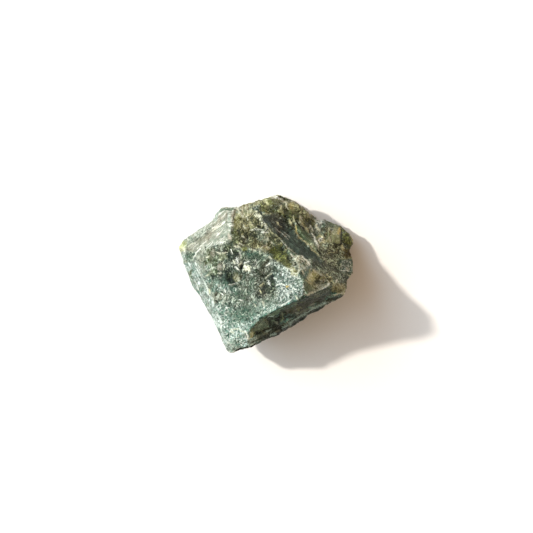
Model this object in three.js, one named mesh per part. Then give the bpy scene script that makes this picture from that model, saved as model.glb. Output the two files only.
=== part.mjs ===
// A raw moss agate: one broken lump of chalcedony, 40 mm long, lying on its flat underside.
//
// Millimetres, +Z up, the origin at the middle of the underside. The stone is drawn as a
// few named lines of corner points: its outline seen from above, the ridges and ledges
// inside it, and the footprint that it rests on. Two sheets of triangles, one over the
// outline and one under it, are sewn together along the outline. Every triangle is then
// split down to one size, the soft faces between the ridges are rounded, and the whole
// surface is roughened like a break in chalcedony.
import * as THREE from 'three';
import { ImprovedNoise } from 'three/addons/math/ImprovedNoise.js';

// ---- Driving sizes -------------------------------------------------------------------
const LONGEST_EDGE = 1.9; // no triangle of the finished stone has a longer edge
const ROUNDING_PASSES = 3; // how often the faces between the ridges are smoothed
const ROUNDING_SHARE = 0.5; // how far a point moves to the middle of its neighbours
const LUMP_SIZE = 5.5; // width of the broad lumps of the broken faces
const LUMP_HEIGHT = 0.8;
const CHIP_SIZE = 2.6; // width of the small chips and pits
const CHIP_HEIGHT = 0.6;
const RIDGE_SHARE = 0.35; // ridges and outline keep this share of the roughness
const FLOOR_CLEARANCE = 0.02; // what lies lower than this belongs to the resting face

// ---- Corner lines: [x, y, height above the resting face] -----------------------------
// The outline of the stone seen from above, clockwise from its left tip.
const OUTLINE = [
  [-20.0, 6.1, 6.0], [-18.2, 8.0, 6.3], [-15.4, 9.9, 6.8], [-12.2, 12.1, 7.2],
  [-10.9, 14.1, 8.0], [-10.0, 14.9, 8.4], [-6.3, 15.2, 9.0], [-3.1, 16.0, 7.0],
  [-1.1, 16.9, 4.5], [0.7, 17.9, 2.5], [2.8, 18.3, 1.2], [5.1, 17.3, 0.8],
  [7.1, 16.7, 0.8], [8.5, 15.6, 0.8], [9.9, 14.0, 1.2], [11.7, 12.2, 1.6],
  [13.3, 12.4, 1.6], [15.3, 11.6, 1.4], [17.4, 10.7, 1.4], [19.2, 9.1, 2.8],
  [20.1, 7.2, 3.4], [19.3, 5.4, 4.8], [19.9, 2.9, 6.2], [19.5, 0.4, 8.3],
  [18.3, -1.4, 11.0], [18.1, -3.5, 13.2], [17.7, -4.8, 13.4], [16.5, -5.8, 12.8],
  [13.5, -7.0, 11.8], [10.5, -8.3, 11.2], [7.8, -10.0, 11.0], [5.3, -11.9, 11.0],
  [2.1, -13.6, 11.2], [-0.9, -15.2, 12.2], [-3.6, -16.7, 13.2], [-5.9, -17.3, 11.5],
  [-8.1, -18.1, 9.8], [-9.1, -16.9, 9.3], [-10.4, -13.7, 8.5], [-12.2, -9.9, 7.5],
  [-14.1, -6.7, 6.8], [-16.4, -3.2, 6.2], [-17.7, -0.1, 5.8], [-19.2, 3.4, 5.6],
];

// The edge of the flat underside.
const FOOTPRINT = [
  [-13.8, 2.7], [-12.4, 7.9], [-8.6, 12.2], [-4.4, 14.4], [1.2, 17.2], [5.3, 16.7],
  [8.3, 15.0], [11.0, 11.9], [15.1, 11.0], [18.3, 8.6], [18.7, 5.9], [18.3, 2.2],
  [16.0, -1.9], [11.0, -5.5], [4.8, -8.9], [-0.4, -11.2], [-5.9, -12.1], [-10.0, -7.8],
  [-12.9, -2.6],
].map(([x, y]) => [x, y, 0]);

// How the underside swells out between the footprint and the outline.
const BELLY = [
  [-7.6, -16.4, 5.2], [-10.6, -10.6, 3.4], [-14.2, -4.4, 2.8], [-16.8, 1.6, 2.6],
  [-15.6, 7.2, 2.8], [-10.6, 11.7, 3.4], [-2.8, -14.2, 6.4],
  [3.4, -11.4, 5.6], [10.4, -7.1, 5.6], [16.6, -3.7, 6.6],
];

// Ridges, ledges and grooves of the upper side. Each stays a crisp line.
const RIDGES = {
  // The side wall on the left, and the line where it turns into the front face.
  leftShoulder: [
    [-20.0, 6.1, 6.0], [-17.3, 5.0, 8.6], [-15.2, 2.7, 9.8], [-14.1, -0.7, 10.2],
    [-12.7, -4.4, 10.6], [-10.9, -8.7, 11.2], [-9.1, -13.3, 11.4], [-7.7, -16.5, 11.4],
    [-8.1, -18.1, 9.8],
  ],
  // The upright edge between the pale upper left face and the brown upper face, the foot
  // of the step below it, and the fin that stands on the brown face.
  uprightEdge: [[-6.3, 15.2, 9.0], [-7.9, 14.0, 10.0], [-7.9, 11.0, 11.8], [-7.9, 7.5, 13.6]],
  uprightFoot: [[-5.9, 14.3, 9.4], [-6.4, 11.4, 10.9], [-6.3, 8.8, 12.4]],
  fin: [[-2.6, 14.6, 10.2], [-1.9, 12.0, 12.0], [-0.9, 8.8, 14.0]],
  // The upper rim of the front face, from the left shoulder to the summit.
  frontRim: [
    [-17.3, 5.0, 8.6], [-13.8, 6.1, 10.8], [-7.9, 7.5, 13.6], [-4.5, 6.1, 15.0],
    [-0.9, 5.4, 16.6], [1.9, 3.1, 18.0], [4.4, 1.8, 20.0], [6.9, 0.4, 21.8],
    [8.6, -1.7, 23.4], [8.9, -4.2, 24.0],
  ],
  // The brow over the undercut, from the summit down to the front tip.
  brow: [
    [8.9, -4.2, 24.0], [7.1, -6.0, 23.0], [4.4, -7.1, 22.0], [1.7, -8.4, 20.8],
    [-0.9, -9.6, 19.6], [-2.7, -11.5, 17.8], [-3.8, -13.0, 16.6], [-4.3, -14.6, 15.0],
    [-3.6, -16.7, 13.2],
  ],
  // The lip that carries the brow on to the right side.
  lip: [
    [8.9, -4.2, 24.0], [10.8, -4.6, 21.9], [12.6, -3.8, 20.2], [14.6, -2.7, 18.6],
    [17.0, -3.2, 15.4], [18.1, -3.5, 13.2],
  ],
  // The bed of the scoop under the brow.
  scoopBed: [
    [-2.7, -13.0, 14.6], [-1.3, -12.0, 14.8], [1.2, -10.7, 15.4], [3.9, -9.3, 15.8],
    [7.0, -7.9, 16.2], [10.6, -6.5, 16.2],
  ],
  // The foot of the undercut.
  undercut: [
    [-4.3, -14.6, 15.0], [-3.1, -15.3, 13.8], [-0.9, -13.7, 13.2], [2.8, -12.1, 13.2],
    [6.0, -9.9, 13.4], [8.9, -8.0, 13.6], [12.4, -6.4, 13.9], [15.6, -5.3, 14.2],
    [17.7, -4.8, 13.4],
  ],
  // The crest between the brown upper face and the slick band.
  crest: [
    [-3.1, 16.0, 7.0], [-1.5, 15.0, 11.2], [0.7, 11.8, 13.2], [3.2, 8.1, 15.2],
    [5.5, 5.1, 16.8], [7.8, 3.4, 17.6], [9.9, 1.7, 18.0], [12.4, -0.3, 17.2],
    [14.2, -1.4, 17.0],
  ],
  // The low ledge along the right of the slick band: its foot and its top edge.
  bandLedgeFoot: [
    [1.9, 14.2, 9.6], [4.2, 13.0, 9.6], [6.0, 12.1, 9.8], [6.9, 9.7, 11.2],
    [8.5, 8.1, 12.0], [10.3, 6.3, 12.8], [12.0, 4.0, 13.6], [14.0, 2.2, 13.2],
  ],
  bandLedgeTop: [
    [2.2, 14.7, 9.8], [4.5, 13.4, 9.9], [6.5, 12.4, 10.1], [7.4, 10.0, 11.3],
    [8.9, 8.4, 12.2], [10.7, 6.6, 12.9], [12.4, 4.3, 13.5],
  ],
  // The groove below that ledge.
  groove: [[8.0, 12.7, 8.6], [9.9, 10.2, 9.4], [11.7, 7.5, 10.4], [13.3, 5.4, 11.2]],
  // The block at the right corner: its edge and the foot of the step round it.
  blockEdge: [[16.8, 9.4, 4.2], [17.1, 8.4, 5.6], [17.0, 7.1, 6.7], [15.2, 6.8, 8.2], [13.6, 7.3, 8.6]],
  blockFoot: [[17.7, 8.2, 4.8], [17.6, 6.7, 5.8], [15.4, 6.2, 7.7]],
  // The head of the wall on the far side.
  farWall: [
    [-0.9, 15.9, 8.6], [1.0, 16.9, 7.0], [3.0, 17.3, 4.4], [5.1, 16.3, 4.4],
    [6.9, 15.6, 4.4], [8.1, 14.9, 4.6], [9.7, 13.4, 5.6], [11.5, 11.6, 5.4],
    [13.2, 11.5, 4.6], [14.9, 10.8, 4.2], [16.8, 9.4, 4.2], [18.5, 7.9, 4.6],
  ],
};

// Lumps and hollows between the ridges. They are rounded over.
const SOFT_POINTS = {
  frontFace: [
    [-11.3, 2.7, 12.4], [-6.6, 1.3, 14.6], [-2.4, 1.3, 16.0], [1.2, 0.4, 16.6],
    [1.0, -3.0, 17.2], [-3.6, -4.2, 15.8], [-9.3, -3.7, 12.8], [-0.9, -6.7, 18.2],
    [-5.9, -8.7, 14.4], [-7.2, -12.8, 12.6],
  ],
  brownFace: [
    [-4.4, 13.4, 10.5], [-4.7, 10.2, 12.0], [-3.0, 10.4, 12.0], [-0.6, 11.0, 12.2],
    [1.0, 7.2, 14.4], [2.6, 5.0, 16.3],
  ],
  rightFlank: [
    [13.2, 9.6, 6.8], [16.7, 4.6, 8.0], [14.9, 3.1, 10.8], [17.6, 2.7, 8.4],
    [16.5, -0.7, 12.8],
  ],
  hollowBehindLip: [[12.4, -1.9, 17.4], [10.4, -2.2, 19.4]],
};

// ---- The two sheets ------------------------------------------------------------------
// A net is { points, triangles, crisp }: corner points, corner numbers three by three, and
// the keys of the edges that stay crisp.

const edgeKey = (a, b) => (a < b ? `${a}_${b}` : `${b}_${a}`);

// Twice the area of a triangle seen from above, above zero where it turns leftwards.
function turn([ax, ay], [bx, by], [cx, cy]) {
  return (bx - ax) * (cy - ay) - (by - ay) * (cx - ax);
}

// Whether point d lies inside the circle through a, b and c, which turn leftwards.
function inCircle(a, b, c, d) {
  const rows = [a, b, c].map(([x, y]) => {
    const dx = x - d[0];
    const dy = y - d[1];
    return [dx, dy, dx * dx + dy * dy];
  });
  const [p, q, r] = rows;
  const first = p[0] * (q[1] * r[2] - q[2] * r[1]);
  const second = p[1] * (q[0] * r[2] - q[2] * r[0]);
  const third = p[2] * (q[0] * r[1] - q[1] * r[0]);
  return first - second + third > 1e-9;
}

// The Delaunay triangles of the points seen from above: each new point clears the
// triangles whose circle holds it, and is joined to the rim of the gap.
function delaunay(points) {
  const far = 1000;
  const count = points.length;
  const all = [...points, [-far, -far], [far, -far], [0, far]];
  let triangles = [[count, count + 1, count + 2]];
  for (let index = 0; index < count; index += 1) {
    const rim = new Map();
    const kept = [];
    for (const corners of triangles) {
      if (inCircle(...corners.map((corner) => all[corner]), all[index])) {
        corners.forEach((corner, side) => {
          const next = corners[(side + 1) % 3];
          const key = edgeKey(corner, next);
          if (!rim.delete(key)) rim.set(key, [corner, next]);
        });
      } else {
        kept.push(corners);
      }
    }
    const added = [...rim.values()].map(([from, to]) => [from, to, index]);
    triangles = [...kept, ...added];
  }
  return triangles.filter((corners) => Math.max(...corners) < count);
}

// Whether a point lies inside the outline seen from above.
function insideOutline(x, y) {
  let inside = false;
  OUTLINE.forEach(([ax, ay], index) => {
    const [bx, by] = OUTLINE[(index + 1) % OUTLINE.length];
    const crosses = ay > y !== by > y && x < ((bx - ax) * (y - ay)) / (by - ay) + ax;
    if (crosses) inside = !inside;
  });
  return inside;
}

// The triangles over the outline whose middle lies inside it.
function sheet(points) {
  return delaunay(points).filter((corners) => {
    const [a, b, c] = corners.map((corner) => points[corner]);
    return insideOutline((a[0] + b[0] + c[0]) / 3, (a[1] + b[1] + c[1]) / 3);
  });
}

// Gathers points, giving one number to corners that lines share.
function pointBook() {
  const points = [];
  const numbers = new Map();
  const add = (point) => {
    const key = `${point[0]}_${point[1]}`;
    if (!numbers.has(key)) {
      numbers.set(key, points.length);
      points.push(point);
    }
    return numbers.get(key);
  };
  return { points, add };
}

function crispEdges(line, closed) {
  const edges = [];
  const last = closed ? line.length : line.length - 1;
  for (let index = 0; index < last; index += 1) {
    edges.push(edgeKey(line[index], line[(index + 1) % line.length]));
  }
  return edges;
}

// The closed net: an upper sheet over the ridges and a lower sheet over the footprint.
function closedNet() {
  const book = pointBook();
  const outline = OUTLINE.map(book.add);
  const ridges = Object.values(RIDGES).map((line) => line.map(book.add));
  Object.values(SOFT_POINTS).flat().forEach(book.add);
  const upper = sheet(book.points);

  const lowerBook = pointBook();
  OUTLINE.forEach(lowerBook.add);
  const footprint = FOOTPRINT.map(lowerBook.add);
  BELLY.forEach(lowerBook.add);
  const lower = sheet(lowerBook.points);
  const shift = book.points.length - outline.length;
  const renumber = (corner) => (corner < outline.length ? corner : corner + shift);

  const points = [...book.points, ...lowerBook.points.slice(outline.length)];
  const triangles = [...upper, ...lower.map(([a, b, c]) => [a, c, b].map(renumber))];
  const crisp = new Set([
    ...crispEdges(outline, true),
    ...crispEdges(footprint.map(renumber), true),
    ...ridges.flatMap((line) => crispEdges(line, false)),
  ]);
  return { points, triangles, crisp };
}

// ---- Splitting, rounding and roughening ----------------------------------------------

// One round of splitting: every edge over the limit gets a middle point, and each triangle
// is cut at the middle points on its edges.
function splitLongEdges({ points, triangles, crisp }) {
  const grown = [...points];
  const middles = new Map();
  const crispNow = new Set(crisp);
  const distance = (a, b) => Math.hypot(...a.map((value, axis) => value - b[axis]));
  const middleOf = (a, b) => {
    const key = edgeKey(a, b);
    if (distance(points[a], points[b]) <= LONGEST_EDGE) return null;
    if (!middles.has(key)) {
      middles.set(key, grown.length);
      if (crispNow.delete(key)) {
        crispNow.add(edgeKey(a, grown.length));
        crispNow.add(edgeKey(b, grown.length));
      }
      grown.push(points[a].map((value, axis) => (value + points[b][axis]) / 2));
    }
    return middles.get(key);
  };
  const cut = triangles.flatMap((corners) => {
    const halves = corners.map((corner, side) => middleOf(corner, corners[(side + 1) % 3]));
    const count = halves.filter((half) => half !== null).length;
    if (count === 0) return [corners];
    if (count === 3) {
      const [a, b, c] = corners;
      const [ab, bc, ca] = halves;
      return [[a, ab, ca], [ab, b, bc], [ca, bc, c], [ab, bc, ca]];
    }
    const first = halves.findIndex((half, side) => {
      const before = halves[(side + 2) % 3];
      return half !== null && (count === 1 || before === null);
    });
    const [a, b, c] = [0, 1, 2].map((step) => corners[(first + step) % 3]);
    const [ab, bc] = [0, 1].map((step) => halves[(first + step) % 3]);
    if (count === 1) return [[a, ab, c], [ab, b, c]];
    return [[ab, b, bc], [a, ab, bc], [a, bc, c]];
  });
  return { points: grown, triangles: cut, crisp: crispNow };
}

function splitAll(net) {
  const finer = splitLongEdges(net);
  return finer.triangles.length === net.triangles.length ? net : splitAll(finer);
}

// The numbers of the points that lie on crisp edges.
function crispPoints({ crisp }) {
  return new Set([...crisp].flatMap((key) => key.split('_').map(Number)));
}

// Moves each point that lies on no crisp edge towards the middle of its neighbours.
function roundFaces({ points, triangles, crisp }) {
  const neighbours = points.map(() => new Set());
  triangles.forEach(([a, b, c]) => {
    neighbours[a].add(b).add(c);
    neighbours[b].add(a).add(c);
    neighbours[c].add(a).add(b);
  });
  const fixed = crispPoints({ crisp });
  const rounded = points.map((point, index) => {
    if (fixed.has(index)) return point;
    const around = [...neighbours[index]].map((other) => points[other]);
    return point.map((value, axis) => {
      const middle = around.reduce((sum, other) => sum + other[axis], 0) / around.length;
      return value + (middle - value) * ROUNDING_SHARE;
    });
  });
  return { points: rounded, triangles, crisp };
}

// The outward direction at each point, from the triangles that meet there.
function outwardDirections({ points, triangles }) {
  const sums = points.map(() => new THREE.Vector3());
  const vectors = points.map((point) => new THREE.Vector3(...point));
  triangles.forEach((corners) => {
    const [a, b, c] = corners.map((corner) => vectors[corner]);
    const face = b.clone().sub(a).cross(c.clone().sub(a));
    corners.forEach((corner) => sums[corner].add(face));
  });
  return sums.map((sum) => sum.normalize());
}

// Lumps and chips: smooth noise for the lumps, folded noise for sharp-edged chips.
function roughness(noise, [x, y, z]) {
  const lumps = noise.noise(x / LUMP_SIZE, y / LUMP_SIZE, z / LUMP_SIZE);
  const chips = Math.abs(noise.noise(x / CHIP_SIZE, y / CHIP_SIZE, z / CHIP_SIZE + 7));
  return LUMP_HEIGHT * lumps - CHIP_HEIGHT * (chips - 0.2);
}

function roughen(net) {
  const noise = new ImprovedNoise();
  const outward = outwardDirections(net);
  const crisp = crispPoints(net);
  const points = net.points.map((point, index) => {
    if (point[2] < FLOOR_CLEARANCE) return [point[0], point[1], 0];
    const share = crisp.has(index) ? RIDGE_SHARE : 1;
    const depth = share * roughness(noise, point) * Math.min(1, point[2] / CHIP_SIZE);
    const moved = point.map((value, axis) => value + outward[index].getComponent(axis) * depth);
    return [moved[0], moved[1], Math.max(moved[2], FLOOR_CLEARANCE)];
  });
  return { ...net, points };
}

// ---- The stone -----------------------------------------------------------------------
function stoneGeometry() {
  let net = splitAll(closedNet());
  for (let pass = 0; pass < ROUNDING_PASSES; pass += 1) net = roundFaces(net);
  const rough = roughen(net);
  const geometry = new THREE.BufferGeometry();
  geometry.setAttribute('position', new THREE.Float32BufferAttribute(rough.points.flat(), 3));
  geometry.setIndex(rough.triangles.flat());
  geometry.computeBoundingBox();
  const middle = geometry.boundingBox.getCenter(new THREE.Vector3());
  geometry.translate(-middle.x, -middle.y, -geometry.boundingBox.min.z);
  geometry.computeVertexNormals();
  return geometry;
}

const chalcedony = new THREE.MeshStandardMaterial({ color: 0x7d8a74, roughness: 0.5, metalness: 0 });
const stone = new THREE.Mesh(stoneGeometry(), chalcedony);
stone.name = 'moss_agate';

const group = new THREE.Group();
group.add(stone);

export default group;
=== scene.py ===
"""A raw moss agate: the looks of one broken lump of chalcedony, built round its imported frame.

The stone is one piece. Its visible surface starts from the frame's own facets: every facet
becomes a small triangular patch, a surface of two parameters, and the patches are sewn
together along their shared edges. The faces are then eased, the crystals are pushed in and
out of them by a formula, and the minerals are painted on as attributes that one procedural
material reads. Lengths in the classes are millimetres, and the meshes are in metres.
"""

import logging
import math
from dataclasses import dataclass, field
from enum import Enum

import bpy
import numpy as np
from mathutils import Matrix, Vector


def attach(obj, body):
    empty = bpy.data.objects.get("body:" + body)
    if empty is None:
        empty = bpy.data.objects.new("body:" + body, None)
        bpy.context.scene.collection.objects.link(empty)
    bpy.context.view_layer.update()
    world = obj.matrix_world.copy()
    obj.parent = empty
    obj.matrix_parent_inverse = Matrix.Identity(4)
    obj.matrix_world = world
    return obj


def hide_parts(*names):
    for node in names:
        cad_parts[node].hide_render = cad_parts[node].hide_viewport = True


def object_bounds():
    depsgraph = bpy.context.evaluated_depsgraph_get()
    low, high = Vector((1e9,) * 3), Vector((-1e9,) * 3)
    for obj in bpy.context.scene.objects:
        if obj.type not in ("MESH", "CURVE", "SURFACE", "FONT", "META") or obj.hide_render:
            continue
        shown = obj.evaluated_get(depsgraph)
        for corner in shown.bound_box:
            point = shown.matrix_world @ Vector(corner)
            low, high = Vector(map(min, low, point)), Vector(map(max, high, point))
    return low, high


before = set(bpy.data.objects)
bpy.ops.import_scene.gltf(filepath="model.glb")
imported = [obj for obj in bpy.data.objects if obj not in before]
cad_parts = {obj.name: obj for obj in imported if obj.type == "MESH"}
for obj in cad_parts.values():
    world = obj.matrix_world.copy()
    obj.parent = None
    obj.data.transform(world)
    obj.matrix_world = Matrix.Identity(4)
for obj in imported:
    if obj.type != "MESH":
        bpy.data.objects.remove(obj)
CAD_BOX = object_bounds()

LOG = logging.getLogger("moss_agate")
STONE = "moss_agate"
MM = 0.001
WELD = 0.0005  # corners closer than this are one corner, in millimetres
FLOOR_LEVEL = 0.02  # what lies lower than this belongs to the resting face, in millimetres
OFF_LINE = 9.0  # distance from a line, in half widths, where there is none
SPOT_FRAY = 0.45  # how far noise shifts a spot's edge, as a part of its reach
SPOT_EDGE = (1.3, 0.7)  # where a spot starts and where it is full, in its reaches
LINE_EDGE = (0.32, 0.14)  # the same for a line, beyond its half width, in millimetres
STEEP = (0.45, 0.05)  # outward z of a face that is just steep, and of one that is upright
UNDERSIDE = (0.05, -0.25)  # outward z where the skin starts and where it is full

# Which pattern each noise takes.
BEND_SEEDS = (31, 32, 33)
CHUNK_SEED = 3
GRAIN_SEED = 17
FRAY_SEED = 51
DRIFT_SEEDS = (61, 64)
STEP_SEED = 81

Colour = tuple[float, float, float]
Point = tuple[float, float]
Place = tuple[float, float, float]
Line = tuple[float, ...]  # x and y of one corner after another


# ---- Noise ---------------------------------------------------------------------------


def lattice_random(cells: np.ndarray, seed: int) -> np.ndarray:
    """Gives each whole-numbered lattice cell one fixed random number.

    The three cell numbers and the seed are each multiplied by a large prime, mixed with
    exclusive-or, and scrambled twice more, all in 32 bits.

    Args:
        cells: Whole numbers, the last axis holding x, y and z.
        seed: A number that picks one of many patterns.

    Returns:
        Numbers from 0 to 1, one for each cell.
    """
    mask = 0xFFFFFFFF
    whole = cells.astype(np.int64)
    mixed = (whole[..., 0] * 73856093) ^ (whole[..., 1] * 19349663)
    mixed = (mixed ^ (whole[..., 2] * 83492791) ^ (seed * 2654435761)) & mask
    for shift in (15, 13):
        mixed = ((mixed ^ (mixed >> shift)) * 2246822519) & mask
    return ((mixed ^ (mixed >> 16)) & mask) / mask


def smooth_noise(points: np.ndarray, size: float, seed: int) -> np.ndarray:
    """Value noise: random numbers at lattice corners, blended by an S-shaped curve.

    Args:
        points: Places in millimetres, one row each.
        size: Width of one lattice cell in millimetres.
        seed: Which pattern.

    Returns:
        Numbers from -1 to 1, one for each place.
    """
    scaled = points / size
    corner = np.floor(scaled)
    share = scaled - corner
    share = share * share * (3.0 - 2.0 * share)
    total = np.zeros(len(points))
    for x in (0, 1):
        for y in (0, 1):
            for z in (0, 1):
                step = np.array([x, y, z])
                weight = np.prod(np.where(step, share, 1.0 - share), axis=1)
                total += weight * lattice_random(corner + step, seed)
    return 2.0 * total - 1.0


def rough_noise(points: np.ndarray, size: float, seed: int, octaves: int = 3) -> np.ndarray:
    """Smooth noise summed over octaves, each half as wide and half as strong.

    Args:
        points: Places in millimetres, one row each.
        size: Width of the broadest lumps in millimetres.
        seed: Which pattern.
        octaves: How many layers are summed.

    Returns:
        Numbers of about -1 to 1, one for each place.
    """
    layers = [
        smooth_noise(points, size / 2**octave, seed + octave) / 2**octave
        for octave in range(octaves)
    ]
    return np.sum(layers, axis=0) / (2.0 - 2.0 ** (1 - octaves))


def crystal_facets(points: np.ndarray, size: float, seed: int) -> tuple[np.ndarray, np.ndarray]:
    """Crystals packed side by side, each with one flat tilted face.

    Space is shared out between jittered lattice points, one crystal to each. A crystal's
    face is a plane through its middle: the height is the distance from the middle along
    the crystal's own random direction, plus a random step.

    Args:
        points: Places in millimetres, one row each.
        size: Average width of a crystal in millimetres.
        seed: Which pattern.

    Returns:
        The height of the face, in units of the crystal's width, and the crystal's own
        random direction, three numbers from -1 to 1.
    """
    scaled = points / size
    base = np.floor(scaled)
    best = np.full(len(points), np.inf)
    height = np.zeros(len(points))
    kind = np.zeros_like(points)
    for offset in np.ndindex(3, 3, 3):
        cell = base + np.array(offset) - 1
        jitter = np.stack([lattice_random(cell, seed + axis) for axis in range(3)], axis=1)
        away = scaled - cell - jitter
        reach = np.einsum("ij,ij->i", away, away)
        tilt = np.stack([lattice_random(cell, seed + axis) for axis in (3, 4, 5)], axis=1)
        tilt = 2.0 * tilt - 1.0
        step = lattice_random(cell, seed + 6)
        face = np.einsum("ij,ij->i", away, tilt) + 0.5 * (step - 0.5)
        nearer = reach < best
        best = np.where(nearer, reach, best)
        height = np.where(nearer, face, height)
        kind = np.where(nearer[:, None], tilt, kind)
    return height, kind


def ease(value: np.ndarray, low: float, high: float) -> np.ndarray:
    """An S-shaped ramp, 3 s² - 2 s³ for the share s of the way from low to high.

    Args:
        value: Where on the ramp.
        low: Where it is 0; this may be above high.
        high: Where it is 1.

    Returns:
        Numbers from 0 to 1.
    """
    share = np.clip((value - low) / (high - low), 0.0, 1.0)
    return share * share * (3.0 - 2.0 * share)


# ---- Minerals ------------------------------------------------------------------------


@dataclass(frozen=True)
class Mineral:
    """What one kind of stone looks like.

    Attributes:
        ground: Colour of the mass between the crystals, linear.
        second: The other colour that the mass drifts to, linear.
        fleck: Colour of the crystals, linear.
        share: How much of the surface is crystals, from 0 to 1.
        roughness: How dull the surface is, from 0 to 1.
        relief: How far the crystals stand out, 1 for the sugary faces.
        streak: How strongly it is drawn out in streaks, from 0 to 1.
        level: How far it stands above the rest, in millimetres, below 0 for a pit.
    """

    ground: Colour
    second: Colour
    fleck: Colour
    share: float
    roughness: float = 0.45
    relief: float = 1.0
    streak: float = 0.0
    level: float = 0.0

    def line_colour(self) -> np.ndarray:
        """The colour of a thin line: second and crystal colour, mixed by the share."""
        return (1.0 - self.share) * np.array(self.second) + self.share * np.array(self.fleck)


class Kind(Enum):
    """The minerals that the stone shows."""

    SAGE = Mineral((0.067, 0.109, 0.069), (0.111, 0.121, 0.079), (0.272, 0.296, 0.223), 0.34)
    MOSS = Mineral((0.019, 0.037, 0.018), (0.043, 0.047, 0.028), (0.270, 0.300, 0.231), 0.28)
    FERN = Mineral((0.041, 0.064, 0.019), (0.075, 0.082, 0.036), (0.268, 0.300, 0.202), 0.32)
    MINT = Mineral((0.069, 0.154, 0.105), (0.136, 0.205, 0.154), (0.389, 0.424, 0.364), 0.36)
    FROST = Mineral((0.049, 0.092, 0.062), (0.087, 0.127, 0.094), (0.379, 0.402, 0.347), 0.36)
    TEAL = Mineral((0.032, 0.071, 0.042), (0.063, 0.092, 0.058), (0.230, 0.280, 0.188), 0.22)
    DEEP = Mineral((0.002, 0.007, 0.003), (0.005, 0.012, 0.004), (0.100, 0.128, 0.072), 0.12,
                   level=-0.3)
    UMBER = Mineral((0.013, 0.012, 0.005), (0.029, 0.029, 0.014), (0.206, 0.196, 0.136), 0.25)
    CHALK = Mineral((0.224, 0.269, 0.215), (0.392, 0.396, 0.323), (0.848, 0.856, 0.735), 0.62,
                    level=0.06)
    PALE = Mineral((0.194, 0.239, 0.177), (0.307, 0.298, 0.223), (0.628, 0.622, 0.523), 0.36,
                   relief=0.45, streak=0.7)
    BLUSH = Mineral((0.192, 0.174, 0.114), (0.290, 0.253, 0.178), (0.564, 0.533, 0.439), 0.30,
                    relief=0.5, streak=0.8)
    LEMON = Mineral((0.323, 0.335, 0.133), (0.417, 0.412, 0.202), (0.604, 0.604, 0.400), 0.40,
                    relief=0.4)
    STRIP = Mineral((0.083, 0.155, 0.109), (0.229, 0.238, 0.200), (0.478, 0.519, 0.456), 0.38,
                    relief=0.6, streak=0.45)
    BROWN = Mineral((0.024, 0.024, 0.006), (0.047, 0.049, 0.016), (0.237, 0.219, 0.108), 0.28)
    BEIGE = Mineral((0.191, 0.193, 0.078), (0.315, 0.305, 0.142), (0.583, 0.540, 0.349), 0.38,
                    relief=0.8, streak=0.6)
    OCHRE = Mineral((0.073, 0.086, 0.015), (0.126, 0.134, 0.030), (0.197, 0.213, 0.093), 0.22,
                    relief=0.5)
    SLICK = Mineral((0.018, 0.032, 0.023), (0.043, 0.063, 0.045), (0.101, 0.143, 0.105), 0.18,
                    roughness=0.38, relief=0.34, streak=0.8)
    SLATE = Mineral((0.022, 0.029, 0.015), (0.047, 0.052, 0.028), (0.130, 0.147, 0.092), 0.20,
                    relief=0.5, streak=0.5)
    RIND = Mineral((0.034, 0.077, 0.036), (0.067, 0.128, 0.066), (0.180, 0.326, 0.200), 0.15,
                   relief=0.3, streak=0.5)
    OLIVE = Mineral((0.011, 0.015, 0.004), (0.023, 0.028, 0.006), (0.065, 0.064, 0.004), 0.16,
                    roughness=0.35, relief=0.3)
    CREAM = Mineral((0.177, 0.183, 0.101), (0.321, 0.321, 0.207), (0.642, 0.626, 0.472), 0.55,
                    level=0.04)
    HONEY = Mineral((0.108, 0.101, 0.026), (0.176, 0.166, 0.059), (0.287, 0.281, 0.159), 0.34,
                    relief=0.6)
    AMBER = Mineral((0.290, 0.215, 0.045), (0.400, 0.305, 0.085), (0.52, 0.44, 0.20), 0.30,
                    relief=0.4)
    FIBRE = Mineral((0.043, 0.051, 0.027), (0.130, 0.144, 0.084), (0.858, 0.986, 0.668), 0.28,
                    relief=0.7, streak=0.35)
    KNOB = Mineral((0.040, 0.047, 0.010), (0.080, 0.088, 0.025), (0.251, 0.253, 0.117), 0.30,
                   relief=1.2)
    LEDGE = Mineral((0.040, 0.064, 0.030), (0.077, 0.103, 0.046), (0.231, 0.281, 0.165), 0.25,
                    relief=0.5, streak=0.5)
    BLOCK = Mineral((0.137, 0.155, 0.068), (0.201, 0.216, 0.103), (0.334, 0.344, 0.213), 0.25,
                    relief=0.35)
    CORNER = Mineral((0.020, 0.027, 0.006), (0.055, 0.065, 0.011), (0.171, 0.193, 0.055), 0.20,
                     relief=0.6)
    RUST = Mineral((0.039, 0.029, 0.006), (0.071, 0.062, 0.014), (0.187, 0.178, 0.056), 0.25,
                   relief=0.7)
    SCOOP = Mineral((0.004, 0.016, 0.011), (0.017, 0.052, 0.033), (0.150, 0.420, 0.330), 0.18,
                    relief=0.8, streak=0.4)
    # A paler, greener copy of the mint, laid on faces in shade in the scoop and the band below it:
    # painted light.
    PAINTED_LIGHT_MINT = Mineral((0.152, 0.269, 0.219), (0.261, 0.382, 0.324), (0.514, 0.684, 0.614), 0.40)
    BAND = Mineral((0.008, 0.015, 0.012), (0.021, 0.031, 0.025), (0.149, 0.199, 0.165), 0.22,
                   relief=0.7, streak=0.8)
    SKIN = Mineral((0.080, 0.095, 0.055), (0.125, 0.125, 0.080), (0.26, 0.26, 0.19), 0.28,
                   roughness=0.6, relief=0.7, streak=0.4)
    COAL = Mineral((0.018, 0.022, 0.015), (0.039, 0.044, 0.032), (0.175, 0.194, 0.140), 0.22,
                   relief=0.7, streak=0.4)
    CRACK = Mineral((0.008, 0.012, 0.006), (0.010, 0.014, 0.007), (0.010, 0.014, 0.007), 0.0,
                    level=-0.15)


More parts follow.
